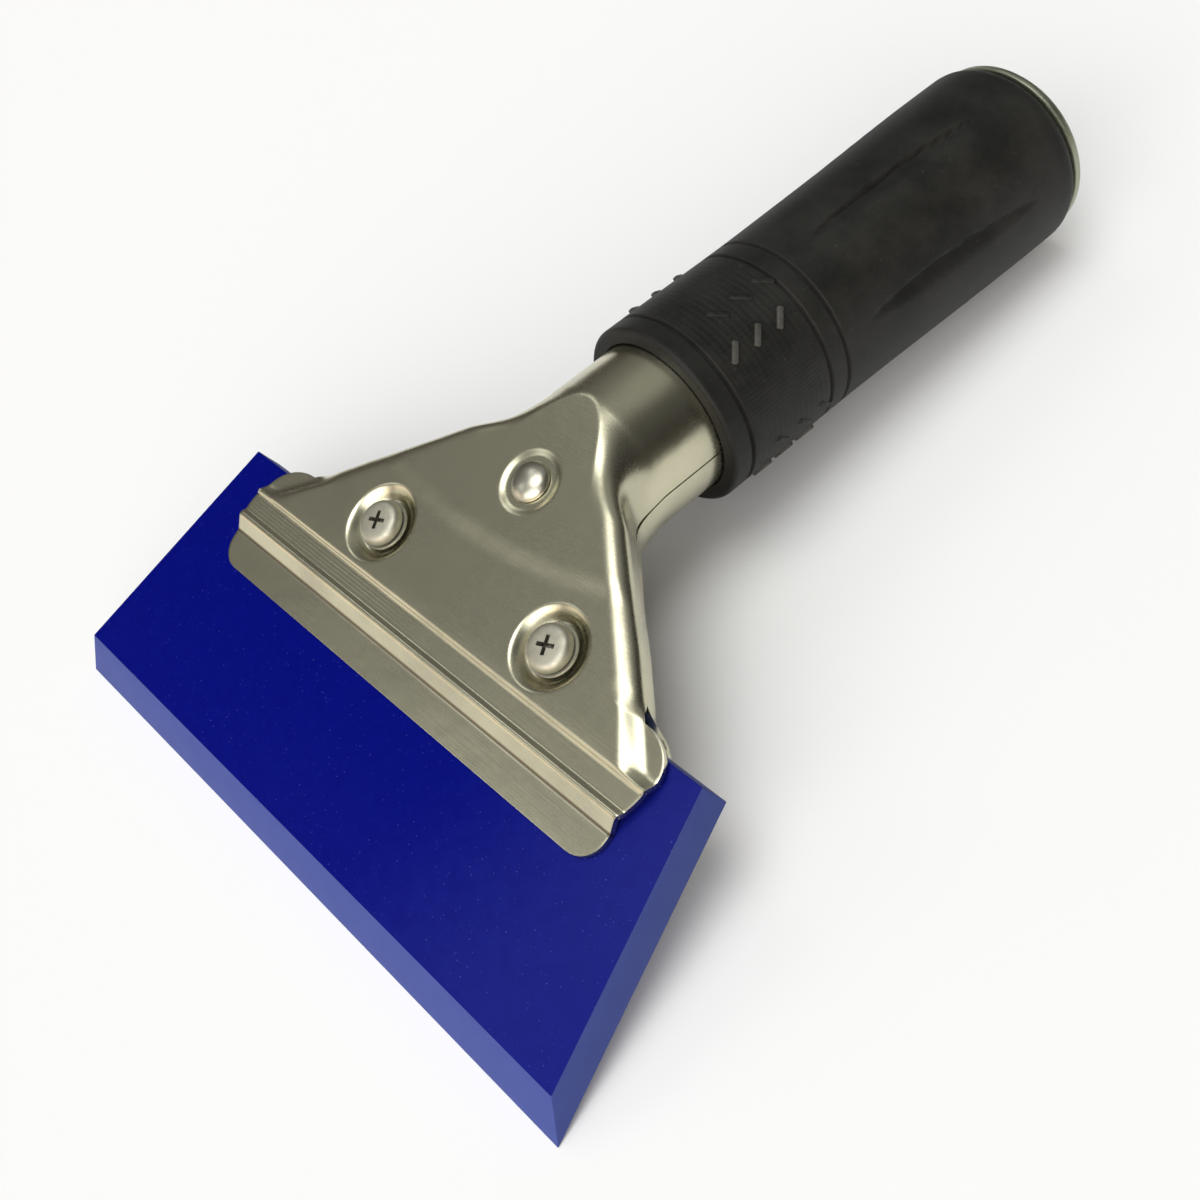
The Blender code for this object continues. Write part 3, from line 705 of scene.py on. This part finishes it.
def stainless():
    s = new_finish("stainless_sheet", Metallic=1.0)
    spot = s.where(HEAD)
    x, y, _ = s.axes(spot)
    brush = s.noise(s.where(HEAD, (0.05, 3.0, 3.0)), 1.0, 3.0)
    fine = s.noise(s.where(HEAD, (0.4, 9.0, 9.0)), 1.0, 2.0)
    blotch = s.noise(spot, 0.09, 3.0, 0.5)
    grain = s.noise(spot, 6.0, 2.0)
    channel = s.ramp(y, -30.4, -29.8) * s.ramp(y, -26.6, -25.9, 1.0, 0.0)
    fade = s.ramp(x, -34.0, 6.0, 1.0, 0.05)
    wave = s.maths("SINE", y * (math.tau / RIPPLE_PITCH) + blotch * 3.0)
    ripple = wave * channel * fade * brush
    tint = s.blend(s.ramp(blotch, 0.3, 0.75), (0.60, 0.575, 0.42), (0.49, 0.47, 0.35))
    # painted shade: a dark line in the corner behind the lip, where shade falls
    painted_shade = s.ramp(s.maths("ABSOLUTE", y - CORNER_SHADE_Y), 0.10, 0.36, 0.8, 0.0)
    tint = s.blend(painted_shade, tint, (0.07, 0.055, 0.04))
    rough = 0.17 + blotch * 0.12 + fine * 0.06
    height = brush * 0.006 + fine * 0.003 + grain * 0.002 + ripple * 0.015 + blotch * 0.11
    return s.finish(Base_Color=tint, Roughness=rough, Normal=s.relief(height))


STEEL = stainless()
print("made", STEEL.name)

# %% [markdown]
# Screws, nuts, washers and the rivet are bright plated steel. The plating softens the marks of
# rolling and turning, so the relief is the same in all directions. The washers are darker, as
# painted shade for the gap under the screw heads, the rivet is polished, and the cross recesses
# get a near black finish as painted shade.

# %% Plated steel
def plated(name, rough, shine):
    """The same plating with its own roughness and brightness."""
    s = new_finish(name, Metallic=1.0)
    spot = s.where(HEAD)
    grain = s.noise(spot, 4.0, 3.0)
    wear = s.noise(spot, 0.8, 3.0, 0.6)
    bright = (shine, shine * 0.97, shine * 0.80)
    dull = (shine * 0.84, shine * 0.81, shine * 0.67)
    tint = s.blend(s.ramp(wear, 0.35, 0.7), bright, dull)
    return s.finish(Base_Color=tint, Roughness=rough + wear * 0.16,
                    Normal=s.relief(grain * 0.012 + wear * 0.03))


PLATED = plated("plated_steel", 0.46, 0.50)
# the washers' darker plating is painted shade for the gap under the screw heads
WASHER_SHADE = plated("plated_washer_painted_shade", 0.42, 0.38)
POLISHED = plated("plated_rivet", 0.24, 0.54)
# near black plating: painted shade inside the cross recesses
RECESS_SHADE = plated("plated_recess_painted_shade", 0.55, 0.20)
print("made", [finish.name for finish in (PLATED, WASHER_SHADE, POLISHED, RECESS_SHADE)])

# %% [markdown]
# The blade is cast polyurethane: the two sheet faces keep the satin skin of the mould, the edges
# were sawn and ground, so they scatter more light and look paler. Light scatters a little under
# the surface; the deep blue colour with a low reflection shows that well enough.

# %% Polyurethane, moulded face and cut face
def moulded_blue():
    s = new_finish("polyurethane_moulded", Specular_IOR_Level=0.05)
    spot = s.where(HEAD)
    x, y, _ = s.axes(spot)
    mottle = s.noise(spot, 0.35, 4.0, 0.6)
    pores = s.noise(spot, 2.2, 2.0)
    dust = s.ramp(s.noise(spot, 3.1, 0.0), 0.80, 0.84)
    base = s.blend(mottle, (0.0001, 0.0016, 0.130), (0.0004, 0.0034, 0.165))
    # painted light: the blade's colour grows paler towards its right end, where more light falls
    painted_light_right = s.ramp(x - y * 0.4 + mottle * 14.0, 36.0, 80.0, 0.0, 0.06)
    tint = s.blend(dust * 0.35 + painted_light_right, base, (0.12, 0.15, 0.42))
    return s.finish(Base_Color=tint, Roughness=0.30 + pores * 0.10,
                    Normal=s.relief(pores * 0.012 + mottle * 0.05))


def cut_blue():
    s = new_finish("polyurethane_cut", Specular_IOR_Level=0.2)
    saw = s.noise(s.where(HEAD, (0.08, 5.0, 5.0)), 1.0, 3.0)
    cloud = s.noise(s.where(HEAD), 0.25, 3.0)
    tint = s.blend(cloud * 0.6 + saw * 0.4, (0.034, 0.052, 0.225), (0.052, 0.076, 0.275))
    return s.finish(Base_Color=tint, Roughness=0.62 + saw * 0.1,
                    Normal=s.relief(saw * 0.02 + cloud * 0.02))


BLUE, CUT_BLUE = moulded_blue(), cut_blue()
print("made", BLUE.name, CUT_BLUE.name)

# %% [markdown]
# The sleeve is moulded black rubber with a fine grain and a dull bloom where hands have rubbed
# it; the higher of the raised strokes are paler, painted light for their lit tops. The cap is
# turned from aluminium, so its relief is a stack of fine rings round the axis.

# %% Rubber and turned alloy
def grip_rubber(name, dark, pale):
    """Dull black rubber; the band between the rings has a faint crossed grain."""
    s = new_finish(name, Specular_IOR_Level=0.21)
    spot = s.where(HANDLE)
    x, y, z = s.axes(spot)
    grain = s.noise(spot, 5.0, 3.0, 0.6)
    bloom = s.noise(spot, 0.11, 4.0, 0.6)
    lint = s.ramp(s.noise(spot, 2.4, 0.0), 0.83, 0.87)
    around = s.maths("ARCTAN2", x, y) * 26.0
    hatch = s.maths("SINE", (around + z) * 2.6) * s.maths("SINE", (around - z) * 2.6)
    band = s.ramp(z, 30.8, 31.6) * s.ramp(z, 46.4, 47.2, 1.0, 0.0)
    patch = s.ramp(bloom + grain * 0.5, 0.55, 1.00)
    base = s.blend(patch, (dark, dark, dark * 0.85), (pale, pale * 0.99, pale * 0.88))
    tint = s.blend(lint * 0.25, base, (0.12, 0.12, 0.11))
    return s.finish(Base_Color=tint, Roughness=0.44 + bloom * 0.2,
                    Normal=s.relief(grain * 0.05 + bloom * 0.08 + hatch * band * 0.03))


def turned_alloy():
    s = new_finish("turned_alloy", Metallic=1.0)
    x, y, z = s.axes(s.where(HANDLE))
    radius = s.maths("SQRT", x * x + y * y)
    marks = s.node("ShaderNodeTexNoise", {"noise_dimensions": "1D"},
                   {"W": radius * 7.0 + z * 7.0, "Detail": 2.0}, out="Fac")
    wear = s.noise(s.where(HANDLE), 0.5, 3.0)
    tint = s.blend(wear, (0.40, 0.42, 0.32), (0.33, 0.35, 0.26))
    return s.finish(Base_Color=tint, Roughness=0.32 + marks * 0.12,
                    Normal=s.relief(marks * 0.02))


RUBBER = grip_rubber("grip_rubber", 0.008, 0.020)
# a paler copy of the rubber for the high strokes: painted light on their lit tops
LIT_STROKES = grip_rubber("grip_rubber_painted_light", 0.045, 0.075)
ALLOY = turned_alloy()
print("made", [finish.name for finish in (RUBBER, LIT_STROKES, ALLOY)])

# %% [markdown]
# ## The two shells
# Now the presses close. Both shells have the dished seats for the clamp screws; only the upper
# one has the ring for the rivet's head.

# %% Press the shells
seats = [(-SCREW_X, SCREW_Y, DISH), (SCREW_X, SCREW_Y, DISH)]
upper = finished_shell("upper_jaw_and_neck", 1, seats + [(0, 0, RIVET_RING)], STEEL)
install(upper, "head", "stainless_sheet", "upper_shell")
lower = finished_shell("lower_jaw_and_neck", -1, seats, STEEL)
install(lower, "head", "stainless_sheet", "lower_shell")

# %% [markdown]
# ## The blade
# The blade is a trapezoid cut from 6.35 mm sheet, its front edge ground at a slant. Bevels on a
# scaled cube would only come near that shape, so the cube's eight corners are moved to their
# places. Its edges are broken by a tenth of a millimetre and catch a thin line of light.

# %% Blade
BLADE_FRONT, BLADE_DEPTH, HALF_BLADE = 128.0 * MM, 49.2 * MM, 3.175 * MM
BLADE_BACK_Y, BLADE_BEVEL, BLADE_END_BEVEL = -21.1 * MM, 6.1 * MM, 0.8 * MM
BLADE_SLANT, BLADE_SHIFT = math.radians(9.9), -2.7 * MM
BLADE_FRONT_Y = BLADE_BACK_Y - BLADE_DEPTH


def blade_corner(corner):
    """Where a corner of the cube goes: the top is shorter than the underside all round."""
    side = math.copysign(1, corner.x)
    top = corner.z > 0
    y = BLADE_BACK_Y if corner.y > 0 else BLADE_FRONT_Y + BLADE_BEVEL * top
    x = BLADE_SHIFT + side * (BLADE_FRONT / 2 - (y - BLADE_FRONT_Y) * math.tan(BLADE_SLANT))
    x -= side * top * BLADE_END_BEVEL / math.cos(BLADE_SLANT)
    return Vector((x, y, math.copysign(HALF_BLADE, corner.z)))


bpy.ops.mesh.primitive_cube_add(size=2)
blade = bpy.context.active_object
blade.name = blade.data.name = "blue_blade"
for vert in blade.data.vertices:
    vert.co = blade_corner(vert.co)
blade.data.materials.append(BLUE)
blade.data.materials.append(CUT_BLUE)
for face in blade.data.polygons:
    face.material_index = int(abs(face.normal.z) < 0.9)
apply(blade, "BEVEL", width=0.12 * MM, segments=3, limit_method="ANGLE",
      angle_limit=math.radians(20))
shade(blade, 30)
place(blade, HEAD)
install(blade, "clamped_blade", "polyurethane", "blade")

# %% [markdown]
# ## Screws, washers and nuts
# Metric 4 mm pan head screws. The head is turned from an outline in mm, and its cross recess is
# cut by two tapered bars that cross, as the punch does in the real head.

# %% Outline of the head, and the bars that cut its recess
HEAD_H = 1.8 * MM
HEAD_OUTLINE = ((0, 1.8), (1.4, 1.79), (2.3, 1.76), (2.85, 1.69), (3.2, 1.56), (3.45, 1.35),
                (3.64, 1.04), (3.75, 0.68), (3.8, 0.36), (3.8, 0.12), (3.72, 0.03), (3.6, 0))


def in_mm(outline):
    return [(r * MM, z * MM) for r, z in outline]


def drive_bar(turn):
    """One tapered bar of the cross recess, wide above and narrow at its foot."""
    bpy.ops.mesh.primitive_cube_add(size=1, location=(0, 0, HEAD_H), rotation=(0, 0, turn))
    bar = bpy.context.active_object
    bar.scale = (4.2 * MM, 0.9 * MM, 2.5 * MM)
    bpy.ops.object.transform_apply(location=True, rotation=True, scale=True)
    open_mesh(bar, select=False)
    choose_faces(bar, lambda f: f.normal.z < -0.9)
    bpy.ops.transform.resize(value=(0.5, 0.5, 1), center_override=(0, 0, HEAD_H))
    close_mesh()
    return bar

# %% [markdown]
# The thread is one pitch of its profile wound round the shank; made by relief alone it would look
# flat when the raised screws show it from the side. The cross recess gets painted shade: the faces
# inside it are found by their place and get the near black finish.

# %% Screw
SCREW_R, SCREW_LENGTH, DRIVE_TURN = 2.0 * MM, 14.15 * MM, math.radians(20)
PITCH, THREAD_DEPTH, THREAD_TURNS = 0.7 * MM, 0.36 * MM, 17


def screw_model():
    """Turned head and shank, cross recess, and a helical thread wound round the shank."""
    root = SCREW_R - THREAD_DEPTH
    shank = [(root, 0), (root, 0.4 * MM - SCREW_LENGTH), (root - 0.4 * MM, -SCREW_LENGTH),
             (0, -SCREW_LENGTH)]
    obj = turned("pan_head_screw", in_mm(HEAD_OUTLINE) + shank, steps=72)
    for turn in (0, math.pi / 2):
        cut(obj, drive_bar(turn))
    ridge = drawn("thread", [(root - 0.02 * MM, 0), (SCREW_R - 0.01 * MM, 0.29 * MM),
                             (SCREW_R - 0.01 * MM, 0.37 * MM), (root - 0.02 * MM, 0.66 * MM)])
    apply(ridge, "SCREW", axis="Z", angle=math.tau, steps=36, render_steps=36,
          iterations=THREAD_TURNS, screw_offset=PITCH, use_merge_vertices=True,
          merge_threshold=1e-6)
    place(ridge, Matrix.Translation((0, 0, 0.5 * MM - SCREW_LENGTH)))
    activate(obj, ridge)
    bpy.ops.object.join()
    shade(obj, 40)
    obj.data.materials.append(PLATED)
    obj.data.materials.append(RECESS_SHADE)
    # the faces inside the cross recess get the near black finish: painted shade
    shaded_recess_faces = [f for f in obj.data.polygons
             if 0.3 * MM < f.center.z < 1.7 * MM and f.center.xy.length < 2.5 * MM]
    for face in shaded_recess_faces:
        face.material_index = 1
    print("faces of the cross recess, darkened by dirt:", len(shaded_recess_faces))
    return obj

# %% [markdown]
# A washer is a stamped ring with slightly rounded edges, turned from a closed outline. A nut
# starts as a hexagon prism; what the turned lens doesn't cover is cut off its corners, and a bore
# with two countersinks is cut through.

# %% Washer and nut
NUT_H, NUT_FLATS = 3.2 * MM, 7.0 * MM
WASHER_OUTLINE = ((4.2, 0.06), (4.14, 0), (2.38, 0), (2.3, 0.06), (2.3, 0.34), (2.38, 0.4),
                  (4.14, 0.4), (4.2, 0.34))
LENS_OUTLINE = ((0, 1.6), (3.35, 1.6), (4.4, 1.0), (4.4, -1.0), (3.35, -1.6), (0, -1.6))
BORE_OUTLINE = ((0, 2.6), (3.2, 2.6), (2.6, 1.6), (2.3, 1.25), (2.3, -1.25), (2.6, -1.6),
                (3.2, -2.6), (0, -2.6))


def washer_model():
    obj = turned("plain_washer", in_mm(WASHER_OUTLINE), steps=72, loop=True)
    shade(obj, 30)
    # darker plating: painted shade for the gap under the head
    obj.data.materials.append(WASHER_SHADE)
    return obj


def nut_model():
    """Hexagon prism whose corners are turned off above and below, with a countersunk bore."""
    bpy.ops.mesh.primitive_cylinder_add(vertices=6, radius=NUT_FLATS / math.sqrt(3), depth=NUT_H)
    obj = bpy.context.active_object
    obj.name = obj.data.name = "hex_nut"
    cut(obj, turned("lens", in_mm(LENS_OUTLINE), steps=96), "INTERSECT")
    cut(obj, turned("bore", in_mm(BORE_OUTLINE), steps=64))
    shade(obj, 25)
    obj.data.materials.append(PLATED)
    return obj

# %% [markdown]
# Each model is copied to the left and the right. The screws and washers ride on their own bodies,
# because they rise when the clamp is opened; the nuts stay with the head.

# %% Set the fasteners in their places
models = {"screw": screw_model(), "washer": washer_model(), "nut": nut_model()}
for side, x in (("left", -SCREW_X), ("right", SCREW_X)):
    seats_at = {"screw": (SCREW_UNDER, DRIVE_TURN, f"{side}_clamp_screw"),
                "washer": (SEAT_Z + REST_GAP, 0, f"{side}_clamp_washer"),
                "nut": (-SEAT_Z - REST_GAP - NUT_H / 2, 0, "head")}
    for kind, (z, turn, body) in seats_at.items():
        piece = copied(models[kind], f"{side}_{kind}_made")
        place(piece, HEAD @ Matrix.Translation((x, SCREW_Y, z)) @ Matrix.Rotation(turn, 4, "Z"))
        install(piece, body, "plated_steel", f"{side}_{kind}")
for model in models.values():
    bpy.data.objects.remove(model)

# %% [markdown]
# ## Rivet
# A domed rivet holds the two shells together at the middle of the fan, through a spacer sleeve
# between them. Its head sits in the shallow ring; its tail is rolled over in the well below. Head,
# shank and tail are one piece of metal, so they are turned from one outline. The sleeve is hidden
# but for a gap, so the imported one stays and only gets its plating.

# %% Rivet
RIVET_TOP, RIVET_LOW = FIELD_Z - 0.15 * MM, WELL_Z - 0.3 * MM
DOME_R, DOME_H, SHANK_R = 3.4 * MM, 1.7 * MM, 2.0 * MM
TAIL_OUTLINE = ((2.0, 0), (2.9, 0), (3.12, -0.12), (3.2, -0.35), (3.15, -0.6), (2.9, -0.85),
                (2.3, -1.02), (1.2, -1.1), (0, -1.1))
dome = [(DOME_R * math.sin(a), RIVET_TOP + DOME_H * math.cos(a)) for a in np.linspace(0, 1.48, 14)]
tail = [(r, RIVET_LOW + z) for r, z in in_mm(TAIL_OUTLINE)]
outline = dome + [(3.36 * MM, RIVET_TOP), (SHANK_R, RIVET_TOP)] + tail
rivet = turned("dome_rivet", outline, steps=72)
shade(rivet, 45)
place(rivet, HEAD)
install(rivet, "head", "plated_steel", "rivet", material=POLISHED)
spacer = frame["nodes"]["rivet_spacer"]
spacer.data.materials.clear()
spacer.data.materials.append(PLATED)

# %% [markdown]
# ## The grip
# The sleeve is a moulded rubber tube: a rim, a smooth band, a ring groove, a band with raised
# strokes, two more rings, and a rear half with six long flutes. All but the flutes is round, so
# the sleeve is turned from its outline, with the rings already drawn in it.

# %% Outline of the sleeve
GRIP_END, BORE_R = 111.0 * MM, 13.7 * MM
RIM_R, WAIST_R, TAIL_R = 16.2 * MM, 16.1 * MM, 17.1 * MM
RIM_ROUND, TAIL_ROUND = 0.8 * MM, 2.8 * MM
RINGS, RING_DEPTH, RING_HALF = (29.9 * MM, 48.2 * MM, 52.3 * MM), 0.6 * MM, 0.6 * MM
RING_WALL, DENSE_FROM, DENSE_TO = (0.14 * MM, 0.52 * MM), 58 * MM, 100 * MM


def grip_radius(along):
    waist = RINGS[2]
    if along < waist:
        return mix(RIM_R, WAIST_R, smooth(along, RINGS[0], waist))
    return mix(WAIST_R, TAIL_R, smooth(along, waist, GRIP_END - TAIL_ROUND) ** 0.8)


def ring_cut(along):
    """Depth of the ring grooves at a place along the axis."""
    return sum(RING_DEPTH * (1 - smooth(abs(along - ring), *RING_WALL)) for ring in RINGS)


def sleeve_outline():
    """Places close together at the rings and the flutes; the outline ends with the bore."""
    quarter = np.linspace(0, math.pi / 2, 7)
    rim = [(RIM_R - RIM_ROUND * (1 - math.sin(a)), GRIP_START + RIM_ROUND * (1 - math.cos(a)))
           for a in quarter]
    spots = [rim[-1][1]]
    for ring in RINGS:
        spots += steps(spots[-1], ring - RING_HALF, 8)
        spots += steps(ring - RING_HALF, ring + RING_HALF, 14)
    spots += steps(spots[-1], DENSE_FROM, 4) + steps(DENSE_FROM, DENSE_TO, 60)
    spots += steps(DENSE_TO, GRIP_END - TAIL_ROUND, 6)
    body = [(grip_radius(s) - ring_cut(s), s) for s in spots[1:]]
    tail = [(TAIL_R - TAIL_ROUND * (1 - math.cos(a)), GRIP_END - TAIL_ROUND * (1 - math.sin(a)))
            for a in quarter[1:]]
    return rim + body + tail + [(BORE_R, GRIP_END), (BORE_R, GRIP_START)]

# %% [markdown]
# The flutes let the fingers hold. Each is a long leaf with a steep side and a soft side. The sleeve
# is turned with many fine steps, and its outer vertices then sink by the depth of the nearest
# flute; cutting the leaves out with solids would leave hard edges that moulded rubber hasn't got.

# %% Turn the sleeve and press the flutes
FLUTES, FLUTE_MIDDLE, FLUTE_HALF, FLUTE_HALF_WIDTH = 6, 79.0 * MM, 20.0 * MM, 2.1 * MM
FLUTE_DEPTH, FLUTE_TURN, FLUTE_DRIFT = 0.95 * MM, math.radians(17), math.radians(5)
FLUTE_CREST = -0.78


def flute_depth(around, along):
    """Depth of the nearest flute at an angle from the crest and a place along the axis."""
    t = (along - FLUTE_MIDDLE) / FLUTE_HALF
    if abs(t) >= 1:
        return 0.0
    pitch = math.tau / FLUTES
    off = (around - FLUTE_TURN - FLUTE_DRIFT * t / 2 + pitch / 2) % pitch - pitch / 2
    v = off * grip_radius(along) / (FLUTE_HALF_WIDTH * (1 - t * t) ** 0.6)
    across = smooth(v, -1.0, FLUTE_CREST) * (1 - smooth(v, FLUTE_CREST, 1.0))
    return FLUTE_DEPTH * (1 - t * t) ** 0.5 * across


grip = turned("rubber_sleeve", sleeve_outline(), steps=288, loop=True)
for vert in grip.data.vertices:
    radius = math.hypot(vert.co.x, vert.co.y)
    if radius > BORE_R + 1 * MM:
        vert.co.xy *= 1 - flute_depth(math.atan2(vert.co.x, -vert.co.y), vert.co.z) / radius
shade(grip, 45)
place(grip, HANDLE)
install(grip, "head", "grip_rubber", "grip", material=RUBBER)

# %% [markdown]
# The band between the rings carries a plain pattern of small raised strokes: a high three and a
# low three that slant against each other, four times round. Each stroke is a bar with round
# edges, sunk in the sleeve for more than half its thickness, so that nothing has to be cut; all
# of them are then joined into one piece.

# %% Raised strokes
STROKE_SIZE = (1.05 * MM, 1.2 * MM, 3.8 * MM)
FIRST_ROW, ROW_PITCH = 34.1, 5.0


def stroke(around, along, lean, height, material):
    """A slanted bar that stands out by a height."""
    bpy.ops.mesh.primitive_cube_add(size=1)
    bar = bpy.context.active_object
    bar.scale = STROKE_SIZE
    bpy.ops.object.transform_apply(location=False, rotation=False, scale=True)
    apply(bar, "BEVEL", width=0.28 * MM, segments=3, limit_method="NONE")
    place(bar, Matrix.Rotation(around, 4, "Z")
          @ Matrix.Translation((0, -grip_radius(along) + STROKE_SIZE[1] / 2 - height, along))
          @ Matrix.Rotation(lean, 4, "Y"))
    bar.data.materials.append(material)
    return bar


bars = []
for quarter in range(4):
    turn = quarter * math.pi / 2
    for row in range(3):
        along = (FIRST_ROW + ROW_PITCH * row) * MM
        # the high strokes get the paler rubber, painted light for their lit tops
        bars.append(stroke(turn + math.radians(40), along, math.radians(-47), 0.48 * MM, LIT_STROKES))
        bars.append(stroke(turn + math.radians(17), along + 2.7 * MM, math.radians(43), 0.2 * MM,
                           RUBBER))
activate(*bars)
bpy.ops.object.join()
strokes = bpy.context.active_object
strokes.name = strokes.data.name = "grip_strokes"
shade(strokes, 40)
place(strokes, HANDLE)
install(strokes, "head", "grip_rubber")

# %% [markdown]
# ## The end cap
# A turned aluminium plug closes the tube; outside the sleeve it shows a flange and a smaller
# step with a thin groove between them. It is turned here too, with many steps, because its rim
# is seen against the pale table.

# %% End cap
CAP_START = 111.3 * MM
CAP_OUTLINE = ((0, 2.3), (14.9, 2.3), (15.2, 2.22), (15.36, 2.06), (15.4, 1.9), (15.4, 1.5),
               (15.1, 1.45), (15.1, 1.3), (15.4, 1.26), (15.8, 1.4), (16.0, 1.32), (16.1, 1.12),
               (16.1, 0.3), (16.02, 0.08), (15.8, 0), (12.1, 0), (12.1, -8.5), (11.6, -9.0),
               (0, -9.0))
cap = turned("turned_cap", [(r, CAP_START + z) for r, z in in_mm(CAP_OUTLINE)], steps=144)
shade(cap, 30)
place(cap, HANDLE)
install(cap, "head", "cap_alloy", "end_cap", material=ALLOY)

# %% [markdown]
# ## Table
# The tool lies on a plain pale table. Its back is clear, so that the tool's underside can be
# looked at from below.

# %% Table
bpy.ops.mesh.primitive_plane_add(size=6)
floor = bpy.context.active_object
floor.name = "table"
paper = new_finish("table_paper", Roughness=0.9, Specular_IOR_Level=0.1)
cloud = paper.noise(paper.node("ShaderNodeTexCoord", {}, {}, out="Object"), 3.0, 2.0)
white = paper.blend(cloud, (0.88, 0.885, 0.895), (0.895, 0.90, 0.91))
seen_from_below = paper.node("ShaderNodeNewGeometry", {}, {}, out="Backfacing")
floor.data.materials.append(paper.finish(Base_Color=white, Alpha=1 - seen_from_below))
print("table", [round(v, 2) for v in floor.dimensions], "m")

# %% [markdown]
# ## Light
# All light comes from the sky, as in a tent of cloth with soft round lamps behind it. The steel
# shows the room as much as itself. So each lamp's place was found by asking, for a highlight in
# the photograph, which direction the camera sees mirrored there. The rest of the sky is mid grey
# above and dark brown at the horizon, which gives the metal its dark sides.

# %% Sky
SPOTS = (  # direction, angles in degrees at which it is full and gone, brightness
    ((0.0, -0.12, 0.99), 12, 25, 4.1),      # overhead: the streak along the crease
    ((0.45, -0.82, 0.34), 15, 46, 3.6),     # broad, in front: the table and the blade's ends
    ((-0.55, -0.57, 0.61), 3, 12, 1.4),     # the faint step before the rivet and the bead
    ((-0.60, 0.09, 0.80), 3, 11, 1.6),      # the arch where the field meets the tube
    ((-0.60, -0.79, 0.08), 8, 22, 1.5),     # the riser behind the lip
    ((-0.1, 0.56, 0.82), 5, 30, 0.13),      # a weak glow behind: the back of the neck
    ((0.66, 0.55, 0.50), 14, 40, -0.12))    # a dark card: the dark patch on the neck
DARKEST = 0.035


def room():
    """A studio sky: brightness by direction."""
    world = bpy.data.worlds.new("studio")
    bpy.context.scene.world = world
    s = Sheet(world, "Background")
    x, y, z = s.axes(s.node("ShaderNodeTexCoord", {}, {}, out="Generated"))
    light = s.ramp(z, 0.10, 0.66, 0.07, 0.20)
    for direction, full, gone, brightness in SPOTS:
        aim = Vector(direction).normalized()
        reach = x * aim.x + y * aim.y + z * aim.z
        edges = [math.cos(math.radians(angle)) for angle in (gone, full)]
        light = light + s.ramp(reach, *edges) * brightness
    tint = s.blend(s.ramp(z, 0.0, 0.5), (1.0, 0.80, 0.62), (1.0, 1.0, 0.98))
    s.finish(Color=tint, Strength=s.maths("MAXIMUM", light, DARKEST))


room()
print("soft spots in the sky:", len(SPOTS))
